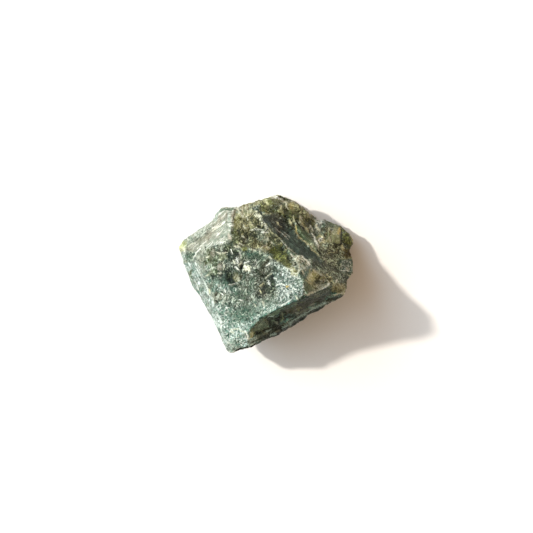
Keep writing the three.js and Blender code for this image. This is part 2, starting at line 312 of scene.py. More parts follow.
@dataclass
class Sheet:
    """The stone's points as seen from above, and how far an edge frays at each.

    Attributes:
        plan: x and y of each point, shifted a little by crystals and noise.
        lines: The same, shifted much less, for thin lines.
        fray: Noise that pulls the edges of marks in and out, about -1 to 1.
    """

    plan: np.ndarray
    lines: np.ndarray
    fray: np.ndarray


@dataclass(frozen=True)
class Patch:
    """A place where one mineral shows, given by its outline seen from above.

    Attributes:
        kind: The mineral.
        outline: Corners of the place, x and y in turn, in millimetres.
        blur: Width of the edge over which it fades in.
        fray: How far noise shifts the edge in and out.
        flow: Direction of its streaks seen from above, in degrees from +X.
        strength: How far it covers what is under it, from 0 to 1.
    """

    kind: Kind
    outline: Line
    blur: float = 0.5
    fray: float = 0.8
    flow: float = 0.0
    strength: float = 1.0

    def paint(self, painter: "Painter", sheet: Sheet) -> None:
        """Lays the mineral over the points inside the outline.

        Args:
            painter: What paints the stone.
            sheet: The points as seen from above.
        """
        gap, _ = distance_to_line(sheet.plan, self.outline, closed=True)
        depth = np.where(inside_outline(sheet.plan, self.outline), gap, -gap)
        depth = depth + self.fray * sheet.fray
        cover = self.strength * ease(depth, -self.blur / 2.0, self.blur / 2.0)
        painter.lay(self.kind, cover, self.flow)


@dataclass(frozen=True)
class Vein:
    """A thin crisp line of one mineral, given by its route seen from above.

    Attributes:
        kind: The mineral.
        route: Corners of the line, x and y in turn, in millimetres.
        width: Its full width.
        strength: How far it covers what is under it, from 0 to 1.
    """

    kind: Kind
    route: Line
    width: float
    strength: float = 1.0

    def paint(self, painter: "Painter", sheet: Sheet) -> None:
        """Draws the line, and sinks or lifts the points along it."""
        gap, side = distance_to_line(sheet.lines, self.route, closed=False)
        painter.draw(self.kind, gap, side, self.width / 2.0, self.strength)


@dataclass(frozen=True)
class Spot:
    """A small oval of one mineral, seen from above.

    Attributes:
        kind: The mineral.
        middle: Its middle, in millimetres.
        reach: Half its length and half its width.
        turn: Direction of its length, in degrees from +X.
        flow: Direction of its streaks seen from above, in degrees from +X.
        strength: How far it covers what is under it, from 0 to 1.
    """

    kind: Kind
    middle: Point
    reach: Point
    turn: float = 0.0
    flow: float = 0.0
    strength: float = 1.0

    def paint(self, painter: "Painter", sheet: Sheet) -> None:
        """Lays the mineral over the points inside the oval.

        Args:
            painter: What paints the stone.
            sheet: The points as seen from above.
        """
        turn = math.radians(self.turn)
        x, y = (sheet.plan - np.array(self.middle)).T
        along = (x * math.cos(turn) + y * math.sin(turn)) / self.reach[0]
        across = (y * math.cos(turn) - x * math.sin(turn)) / self.reach[1]
        share = np.hypot(along, across) + SPOT_FRAY * sheet.fray
        painter.lay(self.kind, self.strength * ease(share, *SPOT_EDGE), self.flow)


# Marks are painted in this order, each over the ones before it.
MARKS: tuple[Patch | Vein | Spot, ...] = (
    # The large front face.
    Patch(Kind.MINT, (
        -14.2, -5.9, -10.1, -6.6, -5.2, -7.1, -0.9, -6.8, 4.2, -5.9, 6.7, -5.7, 4.0, -7.3, 0.9, -8.4,
        -1.4, -9.7, -3.2, -12.2, -3.9, -14.9, -4.8, -17.6, -8.6, -19.4, -11.9, -12.7,
    ), blur=3.0),
    Patch(Kind.MOSS, (
        -10.1, 5.5, -6.8, 6.2, -0.9, 3.3, 1.5, 2.6, 2.2, 0.8, 2.2, -4.1, -0.9, -6.6, -5.9, -6.4,
        -9.9, -4.1, -11.9, -1.4, -13.3, 0.8, -15.1, 2.2, -15.1, 4.8, -12.6, 6.2,
    ), blur=2.4),
    Patch(Kind.FERN, (
        -15.8, 5.3, -13.5, 6.2, -11.3, 5.7, -10.6, 3.1, -11.5, -0.1, -13.7, -0.8, -15.1, 1.3,
    ), blur=1.2),
    Patch(Kind.MOSS, (-11.3, 6.2, -6.8, 6.2, -6.3, 3.9, -7.7, 2.6, -9.9, 3.1), blur=1.6),
    Patch(Kind.TEAL, (-13.3, -1.4, -10.4, -1.2, -9.7, -3.0, -12.2, -4.1), blur=1.4, strength=0.7),
    Patch(Kind.DEEP, (
        -10.1, 0.6, -9.0, 1.5, -7.9, 1.0, -7.2, -0.3, -7.2, -1.7, -8.6, -2.3, -9.9, -1.4,
    ), blur=1.2, strength=0.75),
    Patch(Kind.DEEP, (-9.5, 5.3, -7.9, 5.5, -7.0, 4.2, -7.4, 2.6, -9.0, 3.1), blur=1.6, strength=0.35),
    Patch(Kind.UMBER, (-6.3, 3.5, -4.5, 3.9, -3.6, 2.6, -5.0, 1.3, -6.3, 1.7), blur=1.4, strength=0.4),
    Patch(Kind.UMBER, (-3.2, 2.2, -0.9, 2.6, 0.4, 1.3, 0.0, -1.0, -2.3, -0.8), blur=1.6, strength=0.35),
    Patch(Kind.MINT, (
        -12.2, -2.1, -9.9, -1.7, -7.2, -2.6, -6.3, -3.7, -8.6, -4.6, -11.7, -4.1,
    ), blur=1.8, strength=0.7),
    Patch(Kind.TEAL, (-7.2, -3.7, -4.5, -3.7, -4.3, -6.2, -7.0, -6.4), blur=1.4, strength=0.7),
    Patch(Kind.MOSS, (
        -10.6, -6.6, -7.7, -6.2, -4.5, -6.8, -5.0, -7.9, -8.6, -7.9,
    ), blur=1.4, strength=0.7),
    Patch(Kind.TEAL, (
        -9.0, -8.6, -6.3, -7.9, -3.6, -7.3, -0.9, -7.7, -1.8, -8.8, -4.1, -10.6, -6.8, -10.9,
    ), blur=1.6, strength=0.7),
    Patch(Kind.TEAL, (
        -5.9, 4.8, -4.3, 5.3, -0.9, 5.1, 0.9, 3.5, -0.9, 2.6, -3.6, 3.5, -5.7, 3.3,
    ), blur=0.8),
    Patch(Kind.UMBER, (
        -1.8, -1.7, 0.2, -0.5, 0.9, -4.1, -0.7, -5.9, -2.1, -5.0,
    ), blur=1.2, strength=0.8),
    Patch(Kind.FROST, (
        1.1, 2.4, 3.8, 1.7, 6.9, 0.1, 8.3, -1.4, 8.9, -3.5, 8.5, -4.8, 6.7, -6.2, 3.1, -7.5, 2.2, -5.9,
        2.4, -2.8, 1.5, -0.3,
    ), blur=0.8),
    Patch(Kind.TEAL, (6.0, -0.8, 7.6, -0.8, 8.3, -2.1, 7.6, -3.0, 6.5, -2.1), blur=1.2, strength=0.6),
    Spot(Kind.DEEP, (-8.8, -0.5), (1.1, 1.3)),
    Spot(Kind.DEEP, (-8.1, -1.7), (0.7, 0.5), strength=0.8),
    Spot(Kind.DEEP, (-6.7, 4.6), (0.6, 0.7)),
    Spot(Kind.DEEP, (-5.5, 1.7), (0.3, 0.6), strength=0.8),
    Spot(Kind.DEEP, (-6.8, 3.2), (0.3, 0.3), strength=0.8),
    Spot(Kind.DEEP, (1.3, -1.8), (0.5, 1.6)),
    Spot(Kind.DEEP, (1.8, 0.9), (0.8, 0.5), turn=-25, strength=0.7),
    Spot(Kind.DEEP, (-12.1, -0.8), (0.4, 0.7), strength=0.8),
    Spot(Kind.DEEP, (-0.5, -2.8), (0.4, 0.5), strength=0.7),
    Spot(Kind.DEEP, (0.4, -3.9), (0.5, 0.5), strength=0.6),
    Spot(Kind.DEEP, (-2.7, -7.2), (0.7, 0.2), turn=10, strength=0.8),
    Spot(Kind.DEEP, (-8.3, -6.9), (0.6, 0.3), strength=0.6),
    Spot(Kind.DEEP, (-11.3, -6.6), (0.3, 0.4), strength=0.6),
    Spot(Kind.DEEP, (-3.9, -10.4), (0.7, 0.3), strength=0.5),
    Spot(Kind.DEEP, (-1.6, -8.4), (0.5, 0.2), strength=0.6),
    Spot(Kind.BLOCK, (-9.8, 3.8), (0.8, 0.9), strength=0.7),
    Spot(Kind.BLUSH, (-11.8, 4.7), (0.5, 0.9), strength=0.7),
    Spot(Kind.BLUSH, (-10.4, 1.3), (0.5, 0.9), strength=0.7),
    Spot(Kind.BEIGE, (-6.6, -0.8), (0.7, 0.9), strength=0.4),
    Patch(Kind.PALE, (
        -9.5, -14.9, -7.4, -14.7, -6.3, -16.3, -7.4, -17.8, -9.0, -17.6,
    ), blur=1.4, strength=0.4),
    Spot(Kind.TEAL, (-6.3, -15.1), (0.7, 0.3), strength=0.7),
    Spot(Kind.TEAL, (-9.7, -14.5), (0.5, 0.5), strength=0.7),
    Spot(Kind.TEAL, (-6.1, -14.0), (0.3, 0.5), strength=0.6),
    Patch(Kind.CREAM, (
        -5.2, 1.9, -4.5, 1.7, -3.4, 1.8, -3.5, 0.8, -4.3, 0.4, -5.0, 0.9,
    ), blur=0.3, fray=0.3),
    Vein(Kind.CHALK, (-4.8, 2.4, -4.0, 2.7), width=0.32, strength=0.8),
    Vein(Kind.CREAM, (-6.1, 1.9, -5.7, 2.3), width=0.34),
    Vein(Kind.CHALK, (-6.6, 3.5, -6.3, 2.6), width=0.36),
    Vein(Kind.CHALK, (-6.8, 1.4, -6.3, 0.9), width=0.39),
    Vein(Kind.CREAM, (-7.3, 2.8, -7.1, 2.4), width=0.34),
    Vein(Kind.CHALK, (-12.8, 0.9, -12.2, 1.3, -11.5, 1.5), width=0.23, strength=0.62),
    Vein(Kind.CREAM, (-10.7, 0.1, -10.3, 0.1), width=0.3, strength=0.8),
    Vein(Kind.CREAM, (-9.4, 1.6, -9.7, 0.9), width=0.23, strength=0.8),
    Vein(Kind.CREAM, (-9.8, 2.3, -9.6, 1.6), width=0.27),
    Vein(Kind.CHALK, (0.0, 1.7, 0.7, 2.2), width=0.39, strength=0.8),
    Vein(Kind.CREAM, (-0.2, -0.9, 0.4, -0.4, 1.0, -0.1), width=0.27, strength=0.62),
    Vein(Kind.PALE, (-8.3, -2.4, -7.7, -2.4, -6.9, -2.1), width=0.23, strength=0.7),
    Vein(Kind.CREAM, (-3.2, 5.4, -2.6, 5.2), width=0.52),
    Vein(Kind.CREAM, (-6.8, 6.1, -6.4, 6.0), width=0.55),
    Vein(Kind.CHALK, (-7.9, 5.3, -7.6, 4.6), width=0.25),
    Vein(Kind.CREAM, (-9.6, 4.6, -9.0, 4.7), width=0.3),
    Vein(Kind.CREAM, (-10.9, 4.8, -10.3, 4.6), width=0.27),
    Vein(Kind.PALE, (-5.9, 4.6, -5.7, 3.7), width=0.5, strength=0.7),
    Vein(Kind.BEIGE, (-1.3, -2.7, -0.8, -2.2), width=0.27),
    Vein(Kind.CHALK, (0.4, -1.7, 0.6, -2.3), width=0.41, strength=0.8),
    Vein(Kind.BEIGE, (-1.4, -3.7, -1.2, -4.1), width=0.27),
    Vein(Kind.PALE, (-2.8, 2.6, -2.5, 3.1, -2.1, 2.4, -2.4, 1.7), width=0.18, strength=0.8),
    Vein(Kind.CHALK, (2.2, -2.7, 3.3, -2.3, 4.2, -2.6), width=0.32, strength=0.7),
    Vein(Kind.AMBER, (4.6, -2.9, 4.9, -2.8), width=0.36),
    Vein(Kind.CHALK, (-9.3, -3.7, -9.1, -4.1), width=0.34),
    Vein(Kind.CHALK, (-10.3, -4.4, -9.7, -4.8), width=0.27),
    Vein(Kind.LEMON, (-12.8, -3.7, -12.6, -4.2), width=0.41, strength=0.8),
    Vein(Kind.CREAM, (-0.7, -6.3, -0.3, -7.2), width=0.32, strength=0.7),
    Vein(Kind.CREAM, (-2.7, -6.9, -2.5, -7.3), width=0.25),
    Vein(Kind.CHALK, (-5.8, -5.9, -5.4, -6.0), width=0.39),
    Vein(Kind.CHALK, (-8.8, -7.6, -8.6, -7.6), width=0.34),
    Vein(Kind.CREAM, (-7.9, -12.6, -6.6, -12.4, -5.4, -13.0, -4.5, -13.4), width=0.3, strength=0.7),
    Vein(Kind.CREAM, (-7.9, -13.1, -7.2, -13.3), width=0.32, strength=0.7),
    Vein(Kind.CHALK, (-10.5, -10.2, -10.1, -11.3, -10.1, -12.4), width=0.3, strength=0.6),
    Vein(Kind.CREAM, (6.7, -5.0, 7.1, -5.7), width=0.36, strength=0.7),
    Vein(Kind.CHALK, (5.6, -3.9, 6.0, -3.2, 6.5, -3.5), width=0.25, strength=0.7),
    Vein(Kind.CHALK, (1.8, -1.0, 2.4, -1.2), width=0.32, strength=0.7),
    Vein(Kind.CHALK, (4.7, -0.8, 5.8, -0.5, 6.7, -0.8, 7.6, -1.2), width=0.25, strength=0.5),
    Patch(Kind.DEEP, (
        -12.6, 3.7, -11.0, 4.8, -10.1, 3.7, -10.8, 1.9, -12.6, 1.5,
    ), blur=1.4, strength=0.4),
    Patch(Kind.DEEP, (
        -5.4, 3.5, -3.2, 4.4, -0.5, 4.6, -0.9, 3.3, -3.6, 1.9, -5.4, 1.7,
    ), blur=1.4, strength=0.4),
    Patch(Kind.SAGE, (-12.2, 6.6, -9.9, 6.9, -9.9, 4.8, -11.9, 5.1), blur=1.2, strength=0.5),
    Patch(Kind.DEEP, (
        -5.4, -7.7, -3.2, -7.5, -1.8, -8.6, -3.6, -9.5, -5.4, -9.1,
    ), blur=1.2, strength=0.25),
    Patch(Kind.DEEP, (
        -9.9, 7.1, -6.8, 7.8, -5.0, 6.6, -5.9, 3.9, -8.6, 3.5, -9.9, 5.3,
    ), blur=1.6, strength=0.3),
    Patch(Kind.DEEP, (-0.9, -0.5, 2.0, -0.1, 2.2, -3.5, 0.2, -4.6, -1.4, -3.0), blur=1.4, strength=0.6),
    Patch(Kind.MOSS, (2.7, 2.2, 5.3, 0.8, 7.1, -0.5, 5.8, -1.4, 3.6, 0.4), blur=1.4, strength=0.35),
    Patch(Kind.MOSS, (1.3, 2.2, 2.9, 2.6, 3.8, 1.5, 2.7, 0.6, 1.5, 0.6), blur=1.0, strength=0.5),
    Patch(Kind.MINT, (-14.9, 1.5, -13.1, 1.9, -12.4, -1.9, -14.0, -2.6), blur=1.4, strength=0.7),
    Patch(Kind.MINT, (-11.0, -0.5, -9.2, -0.5, -9.5, -2.8, -11.3, -2.3), blur=1.2, strength=0.35),
    Patch(Kind.SAGE, (-2.3, 2.2, -0.5, 2.4, 0.0, -0.1, -1.8, 0.1), blur=1.4, strength=0.4),
    Patch(Kind.SAGE, (
        -5.9, -1.4, -3.6, -0.5, -2.3, -1.0, -1.8, -2.8, -3.2, -4.6, -5.0, -5.0, -6.6, -4.1,
    ), blur=1.6, strength=0.5),
    # The pale face and the strip along the left side.
    Patch(Kind.PALE, (
        -21.1, 4.4, -21.1, 6.9, -18.4, 8.9, -15.5, 10.7, -12.4, 12.9, -11.3, 14.7, -9.9, 16.1,
        -5.9, 15.8, -5.4, 14.3, -6.6, 14.3, -7.3, 13.6, -7.7, 11.1, -7.8, 7.5, -9.7, 6.9, -12.2, 5.9,
        -14.0, 5.7, -16.0, 4.8, -18.4, 4.6,
    ), blur=0.6, flow=42.0),
    Patch(Kind.BLUSH, (
        -18.4, 4.4, -17.1, 6.4, -14.2, 8.2, -12.6, 10.5, -10.8, 12.7, -9.0, 14.1, -8.1, 13.4,
        -9.9, 11.6, -11.7, 9.6, -12.8, 7.3, -15.1, 5.7, -16.9, 4.8,
    ), blur=1.2, flow=42.0, strength=0.8),
    Patch(Kind.SAGE, (
        -17.3, 7.8, -15.1, 9.6, -13.5, 10.7, -12.4, 11.4, -12.4, 10.0, -14.4, 8.2, -16.7, 7.1,
    ), blur=1.2, flow=42.0, strength=0.6),
    Patch(Kind.STRIP, (
        -21.1, 5.3, -18.0, 4.8, -15.5, 2.6, -14.0, -1.0, -12.2, -5.9, -10.4, -11.8, -8.3, -17.2,
        -9.9, -18.5, -15.8, -8.2, -19.8, -0.3,
    ), blur=1.2, flow=-62.0),
    Patch(Kind.TEAL, (
        -18.4, 4.4, -17.6, 5.1, -16.0, 5.1, -15.8, 3.5, -16.4, 2.6, -18.0, 2.8,
    ), blur=1.0, strength=0.8),
    Patch(Kind.PALE, (
        -15.5, 4.8, -13.5, 6.0, -13.3, 4.4, -14.0, 2.6, -13.5, 0.8, -14.4, -0.5, -15.5, 1.7,
    ), blur=1.4, flow=-62.0, strength=0.6),
    Patch(Kind.LEMON, (
        -20.2, 6.2, -19.1, 7.3, -17.6, 7.5, -17.6, 6.0, -18.4, 5.3, -19.6, 5.1,
    ), blur=0.8),
    Spot(Kind.BROWN, (-17.6, 5.5), (0.7, 0.4), turn=40, strength=0.5),
    Spot(Kind.FERN, (-18.3, 2.6), (0.5, 0.4), strength=0.9),
    Spot(Kind.FERN, (-17.3, 0.1), (0.5, 0.8), strength=0.9),
    Spot(Kind.FERN, (-16.9, -1.7), (0.4, 0.7), strength=0.6),
    Spot(Kind.TEAL, (-14.4, -2.8), (0.4, 0.9), strength=0.6),
    Spot(Kind.TEAL, (-13.3, -7.2), (0.4, 0.3), strength=0.8),
    Patch(Kind.SAGE, (
        -19.8, 8.4, -14.9, 8.9, -13.7, 6.6, -15.8, 5.1, -18.0, 4.8,
    ), blur=2.0, flow=42.0, strength=0.4),
    Vein(Kind.TEAL, (-10.6, 13.9, -9.7, 14.4, -8.6, 14.5, -7.4, 14.6), width=0.46),
    Vein(Kind.MINT, (-11.3, 12.0, -11.0, 13.4, -10.4, 14.1), width=0.36, strength=0.6),
    Vein(Kind.CHALK, (-16.2, 3.7, -15.8, 4.5, -14.9, 5.5), width=0.36, strength=0.78),
    Vein(Kind.CREAM, (-17.6, 6.0, -16.7, 6.8, -16.2, 6.9), width=0.27, strength=0.7),
    Vein(Kind.CREAM, (-11.9, 9.8, -10.8, 10.7), width=0.36, strength=0.7),
    Vein(Kind.BLUSH, (-8.5, 8.7, -8.1, 7.9), width=0.59),
    Vein(Kind.CREAM, (-13.6, -0.5, -13.1, -0.2), width=0.3, strength=0.8),
    Vein(Kind.CREAM, (-13.5, 3.6, -12.9, 3.8), width=0.34, strength=0.8),
    Vein(Kind.CHALK, (-10.1, 6.9, -9.5, 7.1), width=0.41, strength=0.8),
    Vein(Kind.CHALK, (-16.0, -1.9, -15.5, -2.6, -15.3, -3.7), width=0.27, strength=0.47),
    Vein(Kind.CHALK, (-14.0, -1.7, -13.5, -2.8, -12.8, -5.0), width=0.27, strength=0.47),
    # The brown face between the upright edge and the slick band.
    Patch(Kind.BROWN, (
        -6.8, 13.6, -6.1, 14.5, -5.2, 13.6, -5.0, 16.7, -0.9, 17.4, -0.9, 13.8, 0.4, 11.4, 3.1, 7.8,
        4.0, 6.2, 2.2, 3.9, -0.9, 5.1, -4.8, 5.7, -7.0, 6.6,
    ), blur=0.5),
    Patch(Kind.BEIGE, (
        -5.9, 16.5, -2.7, 17.0, -2.3, 14.7, -3.0, 13.4, -3.9, 12.7, -5.2, 12.7, -5.9, 13.8,
    ), blur=0.9, flow=90.0, strength=0.9),
    Patch(Kind.OCHRE, (
        -7.2, 13.4, -6.3, 14.1, -5.9, 12.9, -6.6, 11.6, -6.8, 9.8, -6.3, 7.5, -6.8, 6.6, -7.7, 7.1,
    ), blur=0.9, strength=0.9),
    # Painted light: honey, lighter than the face's own colour, makes up for the shade of a face turned
    # from the light.
    Patch(Kind.HONEY, (
        -7.7, 13.8, -7.0, 14.5, -6.1, 13.8, -5.7, 12.5, -6.1, 10.9, -7.0, 9.8, -7.7, 10.7,
    ), blur=0.7, strength=0.7),
    Patch(Kind.PALE, (
        -8.8, 14.5, -7.3, 14.6, -7.2, 12.9, -7.6, 11.6, -7.9, 8.4, -8.6, 9.3,
    ), blur=0.5, fray=0.4, strength=0.9),
    # A painted highlight along the ridge between the pale face and the brown face.
    Vein(Kind.CHALK, (-7.5, 14.4, -7.6, 13.2, -7.8, 12.0), width=0.36, strength=0.7),
    Patch(Kind.PALE, (-5.9, 15.4, -3.2, 15.8, -3.0, 13.8, -5.2, 13.4), blur=1.2, strength=0.4),
    Patch(Kind.SAGE, (
        -2.1, 9.6, -0.7, 10.2, 0.6, 9.6, 1.1, 8.0, 0.4, 6.9, -1.4, 6.9, -2.3, 8.0,
    ), blur=1.0, strength=0.7),
    Patch(Kind.FERN, (0.9, 7.5, 2.9, 7.5, 3.8, 6.0, 2.2, 4.4, 0.4, 5.3), blur=1.2, strength=0.7),
    Patch(Kind.CREAM, (
        -2.3, 14.1, -1.8, 13.9, -1.2, 13.2, -1.1, 12.3, -0.3, 10.9, -0.7, 10.5, -1.4, 11.6, -2.1, 12.3,
        -2.6, 12.9,
    ), blur=0.4, fray=0.4, strength=0.8),
    Patch(Kind.BEIGE, (
        -4.1, 12.3, -3.4, 12.4, -2.7, 11.4, -2.3, 10.5, -3.2, 10.0, -3.9, 10.7,
    ), blur=0.6, strength=0.8),
    Patch(Kind.BEIGE, (-0.9, 6.0, 0.2, 6.4, 0.6, 5.3, -0.5, 4.6, -1.4, 5.1), blur=0.8, strength=0.6),
    Spot(Kind.DEEP, (-3.5, 12.5), (0.3, 0.3), strength=0.8),
    Spot(Kind.UMBER, (-4.4, 7.3), (0.9, 0.7), strength=0.8),
    Spot(Kind.DEEP, (-1.6, 10.6), (0.3, 0.3), strength=0.7),
    Spot(Kind.DEEP, (-0.7, 10.3), (0.3, 0.2), strength=0.7),
    Spot(Kind.DEEP, (-2.5, 8.4), (0.5, 0.3), strength=0.6),
    Spot(Kind.OCHRE, (-4.9, 5.7), (0.7, 0.4)),
    Spot(Kind.UMBER, (-7.0, 8.0), (0.5, 0.7), strength=0.5),
    Vein(Kind.CREAM, (-6.4, 14.4, -5.9, 13.7, -5.2, 12.9), width=0.5, strength=0.9),
    Vein(Kind.CRACK, (-3.4, 11.9, -2.8, 11.0), width=0.23, strength=0.8),
    Vein(Kind.CREAM, (-4.4, 12.9, -4.2, 12.1), width=0.3, strength=0.8),
    Vein(Kind.CREAM, (-3.5, 9.9, -3.0, 9.9), width=0.3),
    Vein(Kind.CREAM, (-2.7, 10.1, -2.2, 10.3), width=0.25, strength=0.8),
    Vein(Kind.CHALK, (-0.8, 9.2, 0.2, 9.3), width=0.34),
    Vein(Kind.CHALK, (-2.3, 9.9, -0.9, 9.9), width=0.18, strength=0.5),
    Vein(Kind.CREAM, (-5.1, 10.8, -5.0, 10.3), width=0.3),
    Vein(Kind.CREAM, (-5.4, 8.3, -4.8, 7.9), width=0.34, strength=0.7),
    Vein(Kind.CREAM, (-5.9, 6.8, -5.2, 6.3), width=0.25, strength=0.7),
    Vein(Kind.CREAM, (-0.2, 10.7, 0.0, 10.1), width=0.3),
    Vein(Kind.CREAM, (0.4, 8.3, 0.2, 7.4), width=0.27, strength=0.8),
    Vein(Kind.CREAM, (1.1, 7.1, 1.2, 6.9), width=0.32, strength=0.8),
    Vein(Kind.CREAM, (-1.5, 5.1, -1.4, 4.4), width=0.3, strength=0.7),
    Vein(Kind.CREAM, (-1.3, 5.5, -0.7, 6.1, 0.0, 6.5), width=0.25, strength=0.7),
    Vein(Kind.CREAM, (0.5, 5.9, 0.7, 5.8), width=0.34, strength=0.8),
    Vein(Kind.CREAM, (-4.9, 10.3, -4.3, 10.4), width=0.23, strength=0.6),
    Vein(Kind.UMBER, (-7.2, 6.8, -5.9, 6.3, -4.3, 6.0, -2.7, 5.5, -1.4, 5.1), width=0.46, strength=0.6),
    Patch(Kind.DEEP, (
        -0.7, 10.5, 0.6, 10.1, 2.4, 8.4, 4.7, 6.1, 4.7, 5.3, 3.3, 5.7, 1.3, 7.4, 0.0, 8.9,
    ), blur=0.7, strength=0.8),
    Patch(Kind.DEEP, (
        -5.4, 9.3, -2.7, 10.2, -1.4, 9.3, -3.0, 8.0, -3.6, 6.4, -5.2, 6.4,
    ), blur=1.2, strength=0.35),
    Patch(Kind.DEEP, (
        -7.7, 9.8, -5.9, 10.0, -5.4, 7.5, -6.8, 6.0, -8.1, 5.3, -9.5, 6.2,
    ), blur=1.4, strength=0.3),
    # The knob at the top.
    Patch(Kind.KNOB, (
        -2.1, 15.6, 0.9, 19.2, 2.9, 19.7, 5.8, 18.5, 9.2, 16.1, 10.7, 14.1, 12.5, 12.3, 9.8, 10.2,
        7.6, 11.4, 5.8, 12.5, 4.0, 12.7, 2.0, 13.6, -0.7, 13.8,
    ), blur=0.5),
    Patch(Kind.OCHRE, (
        0.0, 17.2, 1.1, 17.4, 2.9, 16.9, 3.3, 16.1, 2.9, 15.2, 1.8, 15.5, 0.6, 15.4, -0.5, 16.1,
    ), blur=0.6, fray=0.5),
    Patch(Kind.BEIGE, (0.4, 17.2, 1.5, 17.5, 2.7, 17.0, 2.2, 16.3, 1.1, 16.3), blur=0.8, strength=0.6),
    Patch(Kind.MOSS, (-3.2, 15.2, -2.3, 16.1, -1.4, 15.6, -1.6, 14.5, -2.5, 14.5), blur=0.5),
    Patch(Kind.MOSS, (
        0.4, 15.2, 1.8, 15.4, 2.7, 14.8, 2.4, 14.1, 1.1, 13.8, 0.4, 14.5,
    ), blur=0.8, strength=0.8),
    Patch(Kind.OLIVE, (2.9, 16.5, 4.2, 16.4, 4.3, 15.4, 3.3, 15.2, 2.9, 15.8), blur=0.6, strength=0.8),
    Patch(Kind.BROWN, (5.8, 14.5, 8.0, 14.9, 8.3, 13.8, 7.6, 12.9, 6.5, 13.2), blur=0.8, strength=0.7),
    Patch(Kind.BEIGE, (8.3, 14.9, 9.6, 14.1, 10.3, 12.7, 9.2, 12.5, 8.3, 13.4), blur=1.0, strength=0.5),
    Patch(Kind.BEIGE, (7.4, 11.8, 8.7, 11.1, 10.3, 9.6, 9.6, 9.1, 8.0, 10.2), blur=0.8, strength=0.4),
    Patch(Kind.HONEY, (
        5.0, 16.1, 6.0, 16.4, 7.1, 16.1, 7.3, 14.9, 6.2, 14.5, 5.1, 14.8,
    ), blur=0.5, fray=0.4),
    Patch(Kind.AMBER, (
        5.1, 15.8, 5.8, 16.2, 6.2, 15.6, 6.0, 14.9, 5.5, 14.8,
    ), blur=0.5, fray=0.3, strength=0.6),
    Patch(Kind.BEIGE, (
        6.1, 16.2, 6.8, 16.0, 7.2, 15.4, 6.8, 14.7, 6.2, 14.9, 6.1, 15.6,
    ), blur=0.4, fray=0.4, strength=0.8),
    Spot(Kind.OLIVE, (-1.3, 14.8), (0.3, 0.8), turn=-10),
    Spot(Kind.DEEP, (1.3, 14.1), (0.5, 0.2), strength=0.7),
    Spot(Kind.DEEP, (4.6, 14.1), (0.7, 0.6)),
    Spot(Kind.DEEP, (4.3, 13.0), (0.6, 0.3), strength=0.9),
    Spot(Kind.DEEP, (3.8, 15.8), (0.6, 0.6), strength=0.8),
    Spot(Kind.DEEP, (2.4, 14.6), (0.6, 0.4), strength=0.6),
    Spot(Kind.MOSS, (1.6, 14.7), (0.8, 0.6)),
    Spot(Kind.OLIVE, (6.9, 12.7), (0.5, 0.7)),
    Spot(Kind.DEEP, (6.6, 11.9), (0.3, 0.4), strength=0.8),
    Spot(Kind.OLIVE, (9.4, 11.8), (0.8, 0.8), strength=0.8),
    Spot(Kind.OLIVE, (9.8, 12.6), (0.6, 0.4), strength=0.5),
    Vein(Kind.LEMON, (-0.2, 16.3, 0.3, 15.8), width=0.46),
    Vein(Kind.BEIGE, (-0.9, 16.6, -0.5, 16.2), width=0.32, strength=0.6),
    Vein(Kind.CHALK, (1.1, 17.4, 2.0, 17.5, 2.9, 17.2, 3.6, 16.8), width=0.77, strength=0.9),
    Vein(Kind.CREAM, (3.3, 16.9, 4.0, 16.5, 4.6, 16.2), width=0.55),
    Vein(Kind.BEIGE, (
        -2.7, 15.5, -1.8, 16.1, -0.9, 16.5, 0.0, 17.0, 0.9, 17.3,
    ), width=0.5, strength=0.6),
    Vein(Kind.PALE, (5.2, 16.5, 6.5, 16.4, 7.4, 15.8, 8.3, 14.9), width=0.36, strength=0.5),
    # Painted shade: a dark line along the knob's steep back wall, where it faces away from the light.
    Vein(Kind.CRACK, (3.2, 17.5, 4.0, 17.1, 4.9, 16.7), width=0.27, strength=0.8),
    Vein(Kind.CREAM, (4.6, 16.1, 4.4, 15.1, 4.8, 14.7), width=0.34),
    Vein(Kind.CREAM, (5.3, 16.4, 6.0, 16.4), width=0.32, strength=0.8),
    Vein(Kind.BEIGE, (3.2, 14.7, 3.4, 15.1), width=0.41),
    Vein(Kind.HONEY, (2.9, 14.4, 3.3, 13.9, 3.8, 13.6), width=0.43),
    Vein(Kind.BEIGE, (-0.7, 13.5, 0.4, 13.6, 1.3, 13.6), width=0.23, strength=0.7),
    Vein(Kind.CRACK, (-1.8, 14.3, -1.1, 13.5), width=0.41),
    Vein(Kind.BEIGE, (6.1, 12.8, 6.2, 11.9), width=0.32),
    Vein(Kind.CREAM, (7.7, 12.7, 7.9, 12.4), width=0.55),
    Vein(Kind.BLOCK, (7.6, 15.8, 8.9, 14.7, 9.8, 13.6), width=0.34, strength=0.6),
    # The slick band, its ledge and the broken strips beside it.
    Patch(Kind.SLICK, (
        -1.2, 13.5, 2.0, 13.0, 4.7, 12.0, 5.6, 10.9, 6.7, 8.2, 8.9, 6.6, 10.7, 4.8, 12.5, 2.6,
        13.9, 0.8, 11.6, 1.0, 9.6, 2.4, 7.4, 4.2, 5.1, 5.7, 2.9, 8.0, 0.9, 10.2,
    ), blur=0.3, fray=0.3, flow=-46.0),
    Patch(Kind.COAL, (
        -1.2, 13.5, 1.3, 13.3, 4.0, 12.3, 5.3, 12.0, 5.1, 10.7, 4.0, 9.8, 2.7, 9.1, 0.9, 10.0,
        -0.3, 11.8,
    ), blur=0.9, flow=-40.0, strength=0.95),
    Patch(Kind.DEEP, (
        4.0, 13.6, 5.6, 13.6, 6.1, 12.7, 6.0, 10.7, 4.9, 10.2, 4.0, 12.0,
    ), blur=0.6, strength=0.85),
    Patch(Kind.DEEP, (3.1, 10.2, 4.7, 10.0, 5.3, 8.4, 4.2, 8.0, 2.9, 9.1), blur=1.0, strength=0.4),
    Patch(Kind.DEEP, (
        1.3, 8.9, 3.1, 7.5, 4.9, 6.2, 7.6, 3.9, 6.2, 3.9, 4.0, 5.5, 1.8, 7.3,
    ), blur=0.8, strength=0.35),
    Patch(Kind.DEEP, (
